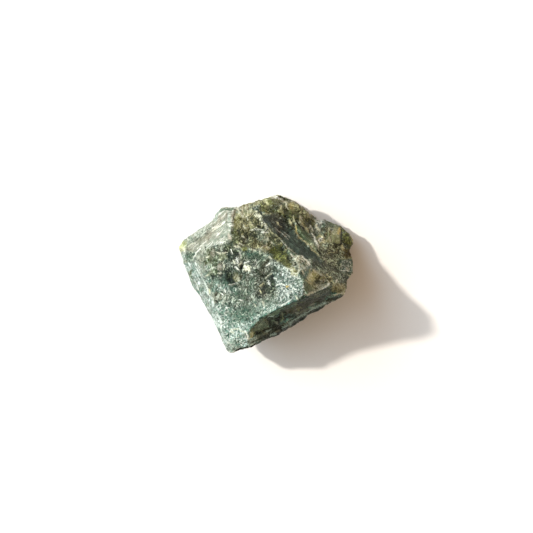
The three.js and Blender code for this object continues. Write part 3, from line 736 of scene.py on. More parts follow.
        6.2, 7.5, 8.5, 6.0, 10.7, 4.4, 12.1, 2.6, 8.9, 4.6, 6.7, 6.2,
    ), blur=0.8, strength=0.3),
    Patch(Kind.LEDGE, (
        6.7, 11.1, 7.6, 11.0, 8.5, 10.0, 9.4, 9.3, 10.1, 8.2, 10.7, 7.0, 9.6, 7.0, 8.3, 7.5, 7.4, 8.4,
        6.8, 9.6,
    ), blur=0.3, fray=0.3, flow=-46.0),
    Patch(Kind.BLOCK, (
        8.9, 7.3, 10.1, 7.2, 10.7, 6.8, 11.2, 5.7, 11.7, 4.4, 10.7, 5.1, 10.1, 6.0,
    ), blur=0.5, fray=0.3, strength=0.8),
    Patch(Kind.FIBRE, (
        9.6, 3.5, 11.6, 2.6, 14.3, 0.6, 12.5, 0.6, 10.3, 1.7, 8.9, 3.1,
    ), blur=1.2, flow=-46.0, strength=0.6),
    Vein(Kind.PALE, (-1.1, 12.5, -0.5, 11.6, 0.4, 10.3, 0.9, 9.7), width=0.18, strength=0.5),
    Vein(Kind.BEIGE, (0.6, 9.7, 2.0, 8.7, 3.2, 7.6), width=0.21, strength=0.5),
    Vein(Kind.PALE, (3.2, 7.6, 4.0, 6.7, 4.9, 5.8, 5.8, 5.1, 6.7, 4.7), width=0.21, strength=0.6),
    Vein(Kind.CRACK, (1.5, 9.4, 2.5, 8.7, 3.3, 8.2), width=0.23),
    Vein(Kind.PALE, (2.1, 10.2, 3.2, 9.3), width=0.21, strength=0.6),
    Vein(Kind.PALE, (3.7, 8.9, 4.8, 7.7), width=0.21, strength=0.6),
    Vein(Kind.PALE, (4.1, 9.3, 5.2, 8.3), width=0.18, strength=0.5),
    Vein(Kind.BEIGE, (2.5, 11.6, 2.7, 11.1), width=0.36, strength=0.9),
    Vein(Kind.BEIGE, (2.9, 10.9, 3.3, 10.5), width=0.16, strength=0.6),
    Vein(Kind.BEIGE, (5.3, 11.9, 5.6, 11.3), width=0.55),
    Vein(Kind.AMBER, (6.6, 10.8, 6.8, 10.0, 6.7, 9.4, 7.1, 8.7), width=0.3, strength=0.7),
    Vein(Kind.BEIGE, (
        7.3, 8.3, 8.0, 7.7, 8.9, 7.0, 9.6, 6.3, 10.3, 5.2, 11.0, 4.7, 11.7, 4.2,
    ), width=0.3, strength=0.8),
    Vein(Kind.CRACK, (6.8, 11.7, 7.4, 11.1, 8.0, 10.6, 8.7, 10.0), width=0.39),
    Vein(Kind.BEIGE, (7.5, 12.1, 8.0, 11.4, 8.5, 10.8, 9.2, 10.2, 9.7, 9.6), width=0.36, strength=0.85),
    Vein(Kind.HONEY, (8.4, 11.0, 8.8, 10.5), width=0.36),
    Vein(Kind.CRACK, (9.8, 10.1, 10.0, 9.4), width=0.3),
    Vein(Kind.CHALK, (9.9, 10.7, 10.5, 9.9), width=0.25, strength=0.7),
    Vein(Kind.CREAM, (11.2, 10.8, 11.5, 10.2, 11.9, 9.7), width=0.41),
    Vein(Kind.CHALK, (10.4, 9.0, 11.0, 8.0, 10.8, 7.5), width=0.27, strength=0.8),
    Vein(Kind.CHALK, (11.0, 7.3, 11.3, 6.8, 11.6, 6.1), width=0.43),
    Vein(Kind.CRACK, (11.5, 5.3, 12.1, 4.5), width=0.36),
    # The right side, from the top down.
    Patch(Kind.FIBRE, (
        11.2, 6.6, 13.9, 6.9, 17.0, 6.6, 17.2, 3.7, 21.1, 3.5, 21.1, 0.8, 19.3, -2.3, 18.4, -5.0,
        15.7, -4.1, 14.5, -2.1, 13.4, 0.8, 12.1, 3.5,
    ), blur=0.8, flow=-50.0),
    Patch(Kind.MOSS, (
        12.5, 6.9, 14.3, 6.9, 15.0, 3.5, 16.6, 2.6, 16.1, 0.4, 13.9, 1.3, 12.5, 3.5,
    ), blur=1.6, strength=0.35),
    Patch(Kind.FROST, (
        11.0, 12.7, 13.4, 12.9, 13.9, 11.1, 12.5, 10.2, 11.2, 10.0,
    ), blur=0.6, strength=0.9),
    Vein(Kind.CHALK, (11.3, 12.0, 11.9, 11.8, 12.4, 11.5), width=0.36, strength=0.8),
    Vein(Kind.CHALK, (12.3, 12.1, 13.1, 11.8), width=0.3, strength=0.7),
    Patch(Kind.TEAL, (12.5, 10.7, 13.7, 10.9, 13.9, 8.9, 13.0, 8.4, 12.3, 9.6), blur=0.6, strength=0.8),
    Patch(Kind.BEIGE, (
        13.7, 10.7, 14.8, 10.9, 14.8, 7.5, 13.7, 6.9, 13.2, 8.7,
    ), blur=0.6, flow=90.0, strength=0.6),
    Patch(Kind.LEDGE, (13.9, 12.0, 15.2, 11.8, 16.1, 10.9, 14.8, 10.2, 13.9, 10.7), blur=0.5),
    Patch(Kind.BLOCK, (
        14.8, 10.0, 15.7, 10.8, 16.9, 10.5, 16.8, 8.0, 16.6, 6.8, 15.4, 7.0, 14.9, 7.5,
    ), blur=0.3, fray=0.3),
    Patch(Kind.LEMON, (
        11.4, 8.3, 12.1, 9.1, 12.9, 8.4, 13.4, 7.2, 12.6, 6.5, 11.9, 7.0,
    ), blur=0.4, fray=0.3),
    Spot(Kind.CHALK, (12.4, 7.7), (0.5, 0.7), turn=-70),
    Patch(Kind.BROWN, (
        12.1, 6.2, 14.8, 6.6, 16.8, 6.2, 16.8, 3.9, 14.3, 3.9, 12.5, 4.6,
    ), blur=1.0, strength=0.5),
    Patch(Kind.SLATE, (
        12.3, 2.4, 15.2, 2.2, 15.9, 0.8, 14.5, -0.1, 12.8, 0.8,
    ), blur=0.8, flow=-46.0, strength=0.5),
    Patch(Kind.CORNER, (17.2, 10.7, 19.3, 9.8, 21.1, 7.3, 19.7, 5.5, 18.1, 5.5, 17.2, 7.5), blur=0.5),
    Patch(Kind.RUST, (17.4, 6.0, 19.3, 5.7, 20.2, 4.8, 19.5, 3.5, 17.5, 3.7), blur=0.5),
    Patch(Kind.TEAL, (16.3, 2.8, 20.6, 3.3, 20.6, 0.4, 18.8, 0.1, 16.6, 0.8), blur=0.8, strength=0.8),
    Patch(Kind.FROST, (
        17.2, 1.3, 19.7, 0.8, 19.3, -1.4, 17.9, -2.3, 17.0, -0.5,
    ), blur=1.0, strength=0.5),
    Patch(Kind.FROST, (16.6, 2.8, 18.6, 3.1, 19.3, 1.5, 17.9, 0.8, 16.8, 1.3), blur=0.8, strength=0.9),
    Patch(Kind.MOSS, (
        16.3, -0.3, 17.9, 0.1, 19.0, -1.0, 18.1, -2.8, 16.6, -2.8,
    ), blur=0.8, strength=0.8),
    Patch(Kind.MINT, (
        6.7, 0.4, 8.7, 1.7, 10.5, 1.7, 10.3, 0.4, 8.9, -0.8, 8.5, -2.1, 7.4, -1.7,
    ), blur=0.6, strength=0.6),
    Spot(Kind.OLIVE, (15.4, 6.2), (0.7, 0.5), strength=0.6),
    Vein(Kind.AMBER, (16.6, 9.9, 16.5, 9.2), width=0.64),
    Vein(Kind.CRACK, (17.1, 10.0, 17.2, 8.4, 16.9, 6.8), width=0.32),
    Vein(Kind.CRACK, (15.4, 6.7, 16.6, 6.5), width=0.27, strength=0.8),
    Vein(Kind.BEIGE, (17.1, 6.3, 17.2, 5.7), width=0.59),
    Vein(Kind.HONEY, (17.2, 3.3, 18.4, 3.4, 19.4, 3.8), width=0.36),
    Vein(Kind.BEIGE, (19.2, 8.8, 19.6, 7.8, 19.7, 7.2), width=0.36),
    Vein(Kind.CHALK, (17.0, 0.7, 17.7, 0.7, 18.5, 0.5), width=0.23, strength=0.7),
    Vein(Kind.CHALK, (18.4, 1.3, 18.7, 0.9), width=0.36, strength=0.8),
    Vein(Kind.BEIGE, (13.5, -0.3, 14.2, -0.9, 14.8, -1.7, 15.3, -2.3), width=0.25, strength=0.8),
    Vein(Kind.CHALK, (15.7, -1.8, 15.9, -1.2), width=0.32, strength=0.8),
    Vein(Kind.BEIGE, (14.0, 4.6, 14.5, 4.8, 15.3, 4.8), width=0.23, strength=0.7),
    Vein(Kind.BEIGE, (16.0, 5.6, 16.0, 5.0), width=0.27, strength=0.6),
    Vein(Kind.PALE, (12.5, 3.7, 13.2, 3.4, 13.5, 2.6), width=0.21, strength=0.5),
    Patch(Kind.BEIGE, (
        14.3, -2.8, 16.1, -2.1, 18.1, -2.3, 18.1, -4.1, 15.7, -4.6, 14.3, -3.9,
    ), blur=0.8, strength=0.7),
    Patch(Kind.PALE, (
        14.5, -2.6, 17.5, -2.8, 17.5, -4.5, 15.7, -4.5, 14.5, -3.7,
    ), blur=1.0, strength=0.4),
    Patch(Kind.BLOCK, (15.7, 8.0, 17.0, 8.0, 17.0, 6.2, 15.7, 6.0), blur=0.6, strength=0.6),
    # The mixed patches between the front face and the band.
    Patch(Kind.FERN, (
        1.1, 7.8, 2.4, 8.0, 4.0, 6.6, 5.6, 5.3, 6.9, 4.4, 6.0, 3.5, 4.9, 3.9, 3.6, 5.7, 1.8, 6.0,
    ), blur=0.6, fray=0.5),
    Patch(Kind.OLIVE, (
        0.6, 5.5, 2.0, 6.6, 3.6, 6.9, 4.7, 5.7, 5.6, 3.9, 5.8, 1.7, 4.9, 1.0, 3.3, 1.8, 1.5, 3.3,
    ), blur=0.6, fray=0.5),
    Patch(Kind.BROWN, (
        0.0, 10.0, 1.3, 9.7, 2.9, 8.1, 4.4, 6.3, 5.6, 5.1, 4.0, 5.3, 2.2, 6.5, 0.4, 8.2,
    ), blur=0.7, strength=0.85),
    Patch(Kind.DEEP, (
        0.4, 9.8, 1.5, 9.2, 2.9, 7.8, 4.2, 6.3, 3.3, 6.2, 1.8, 7.5,
    ), blur=0.7, strength=0.35),
    Patch(Kind.HONEY, (
        4.0, 3.9, 4.9, 3.7, 5.3, 2.6, 5.1, 1.3, 4.0, 1.5,
    ), blur=0.6, fray=0.4, strength=0.4),
    Patch(Kind.TEAL, (
        4.7, 6.0, 5.6, 5.3, 6.5, 4.7, 6.0, 3.9, 5.1, 4.4,
    ), blur=0.4, fray=0.3, strength=0.8),
    Patch(Kind.CREAM, (
        6.5, 3.9, 7.4, 4.2, 8.3, 3.8, 9.6, 2.0, 8.9, 1.3, 8.3, 0.8, 7.8, 1.0, 7.4, 2.2, 6.7, 2.6,
    ), blur=0.5, fray=0.4, strength=0.8),
    Patch(Kind.FROST, (
        7.6, 1.7, 8.5, 2.6, 10.1, 2.2, 11.6, 1.3, 11.2, 0.4, 9.6, 0.4, 8.5, -0.3,
    ), blur=0.6, strength=0.8),
    Patch(Kind.TEAL, (
        7.4, 0.4, 8.3, 1.3, 9.8, 0.8, 9.4, -0.3, 9.6, -1.4, 8.9, -2.8, 8.0, -2.3, 7.4, -1.0,
    ), blur=0.5, fray=0.4),
    # Painted light: the lemon on the shelf is brighter than its own colour, to make up for the shade of
    # a face turned from the light.
    Patch(Kind.LEMON, (
        9.2, -0.5, 9.6, 0.4, 10.5, 0.8, 11.6, 0.4, 12.5, -0.5, 11.4, -1.4, 10.7, -2.3, 9.4, -2.6,
        8.9, -1.7, 9.6, -1.2,
    ), blur=0.6),
    Patch(Kind.BROWN, (11.2, -0.5, 14.3, -0.5, 15.0, -2.6, 12.5, -3.5, 11.2, -2.3), blur=0.6),
    Patch(Kind.BEIGE, (
        11.0, 0.6, 12.3, 0.0, 13.4, -1.0, 13.0, -1.7, 11.4, -1.4,
    ), blur=0.8, strength=0.8),
    Patch(Kind.FERN, (12.5, -1.0, 14.3, -1.0, 14.5, -2.3, 13.0, -3.0), blur=0.8, strength=0.5),
    Patch(Kind.FERN, (
        8.3, -2.1, 9.6, -2.3, 11.2, -2.3, 12.1, -3.0, 10.1, -4.4, 8.5, -4.8,
    ), blur=0.6, fray=0.5),
    # Painted light: this sage brightens the shelf where it is turned from the light.
    Patch(Kind.SAGE, (
        8.7, -2.3, 11.2, -1.4, 13.2, -1.9, 13.7, -2.7, 11.4, -3.9, 8.9, -4.6,
    ), blur=0.8, fray=0.5, strength=0.9),
    # Painted light: this cream brightens the same shaded shelf.
    Patch(Kind.CREAM, (
        9.6, -3.0, 11.6, -2.1, 13.2, -2.3, 12.1, -3.2, 10.1, -3.9,
    ), blur=1.0, strength=0.4),
    # Painted light: this lemon brightens the same shaded shelf.
    Patch(Kind.LEMON, (
        9.2, -0.5, 10.3, 0.6, 11.6, 0.2, 11.4, -1.2, 10.3, -2.3, 9.2, -2.1,
    ), blur=0.7, fray=0.5, strength=0.65),
    Patch(Kind.FERN, (
        8.3, -1.2, 9.4, -1.4, 10.1, -2.8, 9.2, -4.4, 8.5, -4.1,
    ), blur=0.7, fray=0.5, strength=0.8),
    Patch(Kind.OCHRE, (8.9, -2.1, 10.3, -2.3, 10.5, -3.5, 9.4, -4.1), blur=0.7, fray=0.5, strength=0.6),
    Patch(Kind.LEMON, (
        8.9, -2.3, 10.3, -2.1, 11.6, -2.3, 10.7, -3.5, 9.4, -3.7,
    ), blur=0.9, fray=0.5, strength=0.35),
    Patch(Kind.HONEY, (5.1, 1.3, 6.7, 1.3, 7.1, -0.3, 5.6, -0.3), blur=0.5, strength=0.9),
    Spot(Kind.DEEP, (3.8, 5.7), (0.3, 0.9)),
    Spot(Kind.OCHRE, (2.1, 3.9), (0.7, 0.7), strength=0.5),
    Spot(Kind.BEIGE, (2.9, 2.8), (0.3, 0.7), turn=-60, strength=0.6),
    Spot(Kind.DEEP, (5.1, 3.1), (0.3, 0.8), strength=0.7),
    Spot(Kind.DEEP, (6.9, 0.1), (0.3, 0.5), strength=0.6),
    Spot(Kind.OLIVE, (11.3, -1.7), (0.3, 0.4), strength=0.7),
    Spot(Kind.OLIVE, (11.9, -0.8), (0.3, 0.3), strength=0.8),
    Spot(Kind.DEEP, (13.0, -2.2), (0.5, 0.3), strength=0.6),
    Vein(Kind.CHALK, (8.0, 3.9, 8.8, 3.1, 9.7, 2.2), width=0.34),
    Patch(Kind.CREAM, (7.7, 2.4, 8.5, 2.8, 9.4, 2.3, 9.5, 1.7, 8.7, 1.0, 8.2, 1.5), blur=0.4, fray=0.3),
    Vein(Kind.CREAM, (7.4, 1.9, 7.4, 0.8, 7.0, -0.3), width=0.3, strength=0.8),
    Vein(Kind.CREAM, (8.1, 0.7, 8.4, 0.0), width=0.3),
    Vein(Kind.PALE, (5.6, 4.3, 6.1, 3.6), width=0.36),
    Vein(Kind.CREAM, (5.3, 1.0, 5.8, 0.9), width=0.41),
    Vein(Kind.CREAM, (6.1, 0.1, 6.6, 0.0), width=0.34),
    Vein(Kind.CREAM, (4.2, 1.4, 5.1, 1.1), width=0.27, strength=0.6),
    Vein(Kind.CREAM, (10.7, 0.6, 11.4, 0.3, 12.1, -0.2, 12.7, -0.5), width=0.39),
    Vein(Kind.BEIGE, (8.8, -1.4, 9.5, -2.0, 9.9, -2.2), width=0.34),
    Vein(Kind.CREAM, (12.1, -1.5, 12.4, -1.7), width=0.36),
    Vein(Kind.CREAM, (13.8, -1.7, 14.0, -1.9), width=0.36, strength=0.8),
    Patch(Kind.BROWN, (
        13.2, -0.5, 14.3, -1.0, 14.5, -2.1, 13.9, -2.6, 13.2, -1.7,
    ), blur=0.6, strength=0.6),
    Vein(Kind.CREAM, (12.8, -1.2, 13.1, -1.6, 12.9, -1.9), width=0.21, strength=0.7),
    Vein(Kind.BEIGE, (13.0, -0.7, 13.4, -1.1, 13.3, -1.4), width=0.21, strength=0.7),
    Vein(Kind.CREAM, (0.8, 3.6, 1.0, 3.4), width=0.46, strength=0.8),
    Patch(Kind.CORNER, (-9.2, 8.4, -7.4, 9.3, -6.8, 6.9, -7.4, 4.8, -9.5, 5.7), blur=1.2, strength=0.3),
    Patch(Kind.CORNER, (
        0.4, 5.3, 2.2, 6.0, 4.7, 3.9, 5.6, 1.9, 4.0, 1.7, 1.8, 3.1,
    ), blur=1.2, strength=0.45),
    Patch(Kind.OCHRE, (
        -0.9, 16.5, 2.7, 17.2, 6.7, 15.2, 7.6, 12.0, 5.8, 11.6, 3.1, 13.6, 0.0, 14.1,
    ), blur=1.6, strength=0.35),
    Patch(Kind.MINT, (
        7.6, 2.8, 8.9, 3.1, 10.3, 1.7, 10.3, -0.3, 8.7, -0.8, 7.6, 0.8,
    ), blur=0.8, fray=0.4, strength=0.4),
    Patch(Kind.SAGE, (8.3, -1.7, 10.1, -1.9, 10.7, -3.7, 8.9, -4.6), blur=0.8, fray=0.4, strength=0.35),
    Patch(Kind.RIND, (8.3, -1.2, 9.8, -1.7, 10.5, -3.2, 8.9, -4.6), blur=0.7, fray=0.5, strength=0.4),
    Patch(Kind.OLIVE, (
        10.7, -0.8, 11.9, -0.9, 12.3, -1.9, 11.4, -2.6, 10.7, -1.9,
    ), blur=0.5, fray=0.5, strength=0.6),
    Spot(Kind.LEMON, (10.5, -0.4), (0.7, 0.5), turn=-60, strength=0.7),
    # The scoop under the lip, and the band below it.
    Patch(Kind.SCOOP, (
        8.7, -5.0, 12.1, -3.9, 14.5, -3.2, 17.7, -4.1, 16.6, -5.3, 12.1, -6.8, 7.6, -9.1, 3.1, -11.8,
        -1.8, -14.0, -3.6, -15.1, -4.5, -14.2, -3.0, -11.5, -1.2, -9.7, 2.0, -7.9, 5.8, -6.4,
    ), blur=0.3, fray=0.3, flow=30.0),
    Patch(Kind.BAND, (
        -3.4, -16.7, -3.2, -15.1, -1.8, -14.2, 3.1, -12.0, 7.6, -9.3, 12.1, -7.1, 15.7, -5.3,
        18.1, -4.1, 19.7, -5.9, 7.6, -13.6, -0.9, -18.5, -3.6, -19.4,
    ), blur=0.6, flow=31.0),
    Patch(Kind.RIND, (
        -1.6, -10.9, -0.5, -9.5, 0.9, -8.8, 2.2, -8.3, 5.8, -6.8, 8.3, -5.7, 8.0, -6.6, 5.1, -7.8,
        2.2, -9.2, 0.4, -10.2, -0.9, -11.3,
    ), blur=0.6, fray=0.3, flow=30.0),
    Patch(Kind.DEEP, (
        0.0, -10.0, 0.9, -9.4, 2.0, -9.2, 2.7, -9.5, 3.1, -11.1, 3.1, -12.9, 1.5, -13.3, 0.4, -11.8,
        0.0, -10.6,
    ), blur=0.8, strength=0.85),
    Patch(Kind.DEEP, (
        4.0, -7.3, 6.2, -6.6, 7.6, -7.3, 6.7, -8.4, 4.9, -9.1, 4.0, -8.6,
    ), blur=0.9, strength=0.35),
    Patch(Kind.DEEP, (
        0.4, -12.9, 1.5, -12.2, 2.9, -11.3, 4.2, -11.1, 4.4, -12.0, 3.3, -12.9, 1.5, -13.6,
    ), blur=0.6, strength=0.8),
    Patch(Kind.DEEP, (
        6.7, -7.2, 8.3, -6.2, 10.3, -5.5, 12.5, -5.0, 11.6, -6.2, 8.9, -7.3, 7.1, -7.9,
    ), blur=0.8, fray=0.5, strength=0.75),
    Patch(Kind.OLIVE, (
        3.6, -8.4, 4.9, -7.5, 6.9, -6.8, 8.0, -7.1, 6.7, -7.9, 5.1, -9.1, 4.0, -9.3,
    ), blur=0.6, fray=0.5, strength=0.8),
    Patch(Kind.SLICK, (
        6.9, -6.4, 9.6, -4.9, 12.5, -3.8, 14.2, -3.0, 14.2, -4.1, 11.6, -5.0, 8.9, -6.0,
    ), blur=0.4, fray=0.3, flow=25.0),
    Patch(Kind.FERN, (
        -3.4, -12.7, -2.5, -11.1, -0.9, -10.2, 0.4, -10.4, 0.4, -12.0, -0.5, -12.9, -1.8, -12.7,
        -2.7, -13.1,
    ), blur=0.5, fray=0.4),
    Patch(Kind.MINT, (
        -3.2, -12.4, -2.3, -11.0, -1.2, -10.3, -0.3, -10.6, 0.2, -11.8, -0.5, -12.7, -1.4, -12.2,
        -2.3, -12.0,
    ), blur=0.8, fray=0.4, strength=0.55),
    Patch(Kind.HONEY, (
        -3.9, -14.9, -3.4, -12.9, -2.7, -11.7, -1.6, -10.9, -0.9, -11.3, -1.4, -12.4, -2.3, -13.6,
        -2.7, -14.7,
    ), blur=0.6, fray=0.3, strength=0.5),
    Patch(Kind.SAGE, (
        -3.6, -13.3, -2.7, -12.0, -1.8, -10.6, -0.5, -10.3, 0.2, -11.5, -0.9, -12.7, -2.5, -13.3,
    ), blur=0.6, fray=0.5, strength=0.75),
    Patch(Kind.OCHRE, (
        -3.9, -14.7, -3.5, -13.3, -2.7, -12.4, -2.1, -12.2, -2.3, -13.1, -3.0, -14.5,
    ), blur=0.6, fray=0.3, strength=0.5),
    # Painted light: lemon stands in for the ochre at the scoop's left end, lighter to make up for its
    # shade.
    Patch(Kind.LEMON, (
        -4.0, -14.7, -3.9, -13.6, -3.4, -12.8, -3.0, -12.9, -3.0, -13.8, -3.1, -14.5,
    ), blur=0.5, fray=0.3, strength=0.8),
    Vein(Kind.CHALK, (-4.6, -12.9, -4.3, -13.8, -4.1, -14.6), width=0.41, strength=0.8),
    Patch(Kind.OLIVE, (
        3.6, -8.8, 6.7, -7.3, 8.3, -6.2, 11.6, -5.0, 14.3, -4.6, 12.1, -6.4, 9.4, -7.5, 7.1, -8.6,
        4.4, -9.7,
    ), blur=0.7, strength=0.85),
    Patch(Kind.DEEP, (
        7.4, -6.9, 8.9, -6.0, 11.6, -5.3, 12.1, -5.7, 9.4, -6.9, 7.8, -7.6,
    ), blur=0.7, fray=0.5, strength=0.5),
    Patch(Kind.MOSS, (
        15.2, -4.8, 17.2, -4.6, 16.1, -5.9, 13.4, -6.8, 11.6, -7.1, 13.4, -5.7,
    ), blur=0.6, strength=0.6),
    Spot(Kind.DEEP, (-2.1, -13.2), (0.4, 0.5), turn=-20, strength=0.8),
    Patch(Kind.SAGE, (
        -1.8, -14.0, -1.2, -12.9, 0.0, -12.2, 0.9, -12.7, -0.5, -13.9, -1.6, -14.5,
    ), blur=0.6, fray=0.5, strength=0.7),
    Spot(Kind.DEEP, (4.0, -8.8), (0.5, 0.7), turn=30, strength=0.8),
    Spot(Kind.DEEP, (7.6, -6.7), (0.5, 0.4), turn=20, strength=0.8),
    # Painted light: beige brightens the shaded face below the lip's right end.
    Patch(Kind.BEIGE, (
        15.0, -2.8, 17.7, -2.8, 17.9, -4.4, 15.9, -4.7, 14.8, -3.9,
    ), blur=0.7, fray=0.4, strength=0.75),
    Vein(Kind.CREAM, (15.2, -4.7, 16.1, -4.5, 16.8, -4.4, 17.6, -4.3), width=0.36, strength=0.8),
    # Painted light: honey brightens the same shaded face.
    Patch(Kind.HONEY, (15.4, -2.3, 17.5, -2.3, 17.7, -3.7, 16.1, -3.9), blur=0.8, strength=0.5),
    Patch(Kind.MOSS, (
        10.3, -7.9, 11.2, -6.8, 13.4, -5.8, 15.2, -5.3, 15.0, -6.2, 13.0, -7.1, 11.2, -7.9,
    ), blur=0.7, fray=0.5, strength=0.7),
    Vein(Kind.PAINTED_LIGHT_MINT, (0.6, -9.7, 1.6, -9.5), width=0.34, strength=0.7),
    Patch(Kind.OLIVE, (
        6.2, -7.5, 8.5, -6.2, 10.5, -5.5, 11.2, -5.9, 9.4, -7.5, 7.1, -8.6,
    ), blur=0.6, fray=0.5, strength=0.6),
    Patch(Kind.SLICK, (
        -0.9, -12.9, 0.9, -11.8, 3.1, -10.9, 4.0, -11.5, 1.3, -13.3, -0.5, -14.0,
    ), blur=0.8, flow=30.0, strength=0.4),
    Vein(Kind.CRACK, (3.1, -8.8, 2.9, -10.9), width=0.36),
    Vein(Kind.LEDGE, (3.7, -9.1, 3.8, -10.0, 3.4, -10.6), width=0.36),
    Vein(Kind.SAGE, (2.1, -11.0, 2.4, -11.2), width=0.5, strength=0.6),
    Vein(Kind.PAINTED_LIGHT_MINT, (-0.2, -13.3, 0.4, -13.0, 1.1, -12.6), width=0.21, strength=0.6),
    Vein(Kind.SAGE, (4.0, -10.9, 4.6, -11.2), width=0.23, strength=0.7),
    Vein(Kind.PAINTED_LIGHT_MINT, (5.3, -11.0, 6.6, -10.2, 8.0, -9.4, 8.9, -8.8), width=0.36, strength=0.6),
    Vein(Kind.SAGE, (7.1, -9.1, 8.3, -8.5, 9.6, -7.8), width=0.36, strength=0.6),
    Vein(Kind.PAINTED_LIGHT_MINT, (10.1, -8.2, 11.2, -7.6, 12.1, -7.2, 13.4, -6.5), width=0.59, strength=0.6),
    Vein(Kind.PAINTED_LIGHT_MINT, (3.8, -12.3, 4.7, -11.8, 5.6, -11.3), width=0.41, strength=0.6),
    Vein(Kind.FERN, (6.9, -7.9, 7.7, -7.6), width=0.36, strength=0.8),
    Vein(Kind.FERN, (-0.9, -13.0, -0.5, -13.5, 0.1, -13.3), width=0.32),
    Patch(Kind.MINT, (
        -5.2, -15.6, -5.0, -13.6, -4.1, -12.0, -3.3, -11.3, -3.3, -12.4, -3.9, -13.8, -4.1, -15.6,
    ), blur=0.5, fray=0.3, strength=0.9),
    Spot(Kind.UMBER, (-2.3, -11.8), (0.4, 0.5), strength=0.8),
    Patch(Kind.MINT, (
        -6.8, -16.9, -5.2, -15.6, -4.3, -14.0, -3.7, -14.6, -3.0, -14.6, -1.8, -14.1, -1.4, -14.7,
        -2.1, -15.8, -3.4, -16.5, -5.0, -16.9,
    ), blur=0.4, fray=0.3),
    Patch(Kind.PAINTED_LIGHT_MINT, (
        -5.4, -16.7, -4.3, -14.9, -3.2, -14.8, -2.1, -14.5, -1.6, -15.0, -2.3, -15.9, -3.6, -16.5,
    ), blur=0.6, fray=0.4, strength=0.8),
    Vein(Kind.DEEP, (-3.6, -15.6, -2.7, -15.3, -1.8, -14.9, -0.9, -14.5), width=0.18, strength=0.8),
    Vein(Kind.CRACK, (-6.3, -17.1, -5.2, -16.7, -3.9, -16.5, -2.5, -16.2), width=0.21),
    Vein(Kind.PAINTED_LIGHT_MINT, (-3.5, -14.8, -2.7, -14.5, -2.1, -14.1), width=0.36),
    Patch(Kind.RIND, (
        -3.4, -13.1, -2.5, -11.5, -0.9, -10.4, 0.2, -11.1, -0.3, -12.4, -1.8, -13.1,
    ), blur=0.7, fray=0.5, strength=0.4),
    Patch(Kind.PAINTED_LIGHT_MINT, (
        -1.8, -14.0, -0.9, -12.9, 0.2, -12.4, 0.6, -12.9, -0.7, -13.9,
    ), blur=0.6, fray=0.4, strength=0.25),
    Vein(Kind.CRACK, (-2.3, -13.9, -0.9, -13.0, 0.9, -12.2, 2.7, -12.0), width=0.25),
    Vein(Kind.PAINTED_LIGHT_MINT, (1.2, -13.8, 1.9, -13.7), width=0.59, strength=0.7),
    Vein(Kind.SAGE, (2.2, -13.2, 2.9, -13.0), width=0.36, strength=0.8),
    Vein(Kind.SAGE, (5.0, -11.7, 5.3, -12.0), width=0.34, strength=0.8),
    Vein(Kind.PAINTED_LIGHT_MINT, (8.6, -9.2, 9.6, -8.6, 10.6, -8.1), width=0.23, strength=0.6),
    Vein(Kind.SAGE, (9.7, -7.2, 10.2, -6.9, 10.7, -6.7), width=0.32, strength=0.9),
    Vein(Kind.PAINTED_LIGHT_MINT, (12.5, -6.9, 13.8, -6.3), width=0.21, strength=0.5),
    Vein(Kind.CREAM, (
        9.6, -4.5, 10.7, -4.0, 11.6, -3.6, 12.5, -3.3, 13.9, -2.6,
    ), width=0.5, strength=0.8),
    Patch(Kind.SAGE, (
        8.9, -5.5, 10.3, -4.6, 12.5, -3.8, 13.9, -3.2, 13.9, -3.9, 11.6, -4.9,
    ), blur=0.8, strength=0.35),
    Vein(Kind.CHALK, (3.1, -7.2, 4.2, -6.6, 5.3, -6.0), width=0.36, strength=0.6),
    Vein(Kind.MINT, (6.7, -8.8, 7.1, -8.7), width=0.3, strength=0.7),
    Vein(Kind.CREAM, (9.2, -4.8, 10.3, -4.3, 11.2, -3.9, 12.1, -3.5), width=0.27, strength=0.85),
    Vein(Kind.CHALK, (12.0, -3.5, 12.8, -3.2, 13.4, -2.9, 14.0, -2.5), width=0.43),
    Vein(Kind.CRACK, (-6.8, -17.5, -5.2, -16.8, -3.6, -16.5, -2.1, -15.9), width=0.32),
)


def distance_to_line(
    places: np.ndarray, route: Line, closed: bool
) -> tuple[np.ndarray, np.ndarray]:
    """How far each place lies from a line of straight stretches, seen from above.

    For each stretch from a to b the nearest point is a + (b - a) times the share of the
    way that the place lies along it, held between 0 and 1.

    Args:
        places: Plan places, one row of x and y each, in millimetres.
        route: The line's corners, x and y in turn.
        closed: Whether the last corner joins the first.

    Returns:
        Distances in millimetres, and 1 on the line's left and -1 on its right.
    """
    corners = np.array(route).reshape(-1, 2)
    ends = np.roll(corners, -1, axis=0)
    count = len(corners) if closed else len(corners) - 1
    nearest = np.full(len(places), np.inf)
    side = np.ones(len(places))
    for start, end in zip(corners[:count], ends[:count]):
        along = end - start
        away = places - start
        share = np.clip(away @ along / (along @ along), 0.0, 1.0)
        gap = np.linalg.norm(away - share[:, None] * along, axis=1)
        left = np.where(along[0] * away[:, 1] > along[1] * away[:, 0], 1.0, -1.0)
        side = np.where(gap < nearest, left, side)
        nearest = np.minimum(nearest, gap)
    return nearest, side


def inside_outline(places: np.ndarray, outline: Line) -> np.ndarray:
    """Tells which places lie inside: a ray to the right crosses the outline an odd
    number of times.

    Args:
        places: Plan places, one row of x and y each, in millimetres.
        outline: The outline's corners, x and y in turn.

    Returns:
        One truth value for each place.
    """
    corners = np.array(outline).reshape(-1, 2)
    inside = np.zeros(len(places), dtype=bool)
    for (ax, ay), (bx, by) in zip(corners, np.roll(corners, -1, axis=0)):
        rises = (ay > places[:, 1]) != (by > places[:, 1])
        if ay != by:
            crossing = (bx - ax) * (places[:, 1] - ay) / (by - ay) + ax
            inside ^= rises & (places[:, 0] < crossing)
    return inside


# ---- The stone's surface -------------------------------------------------------------


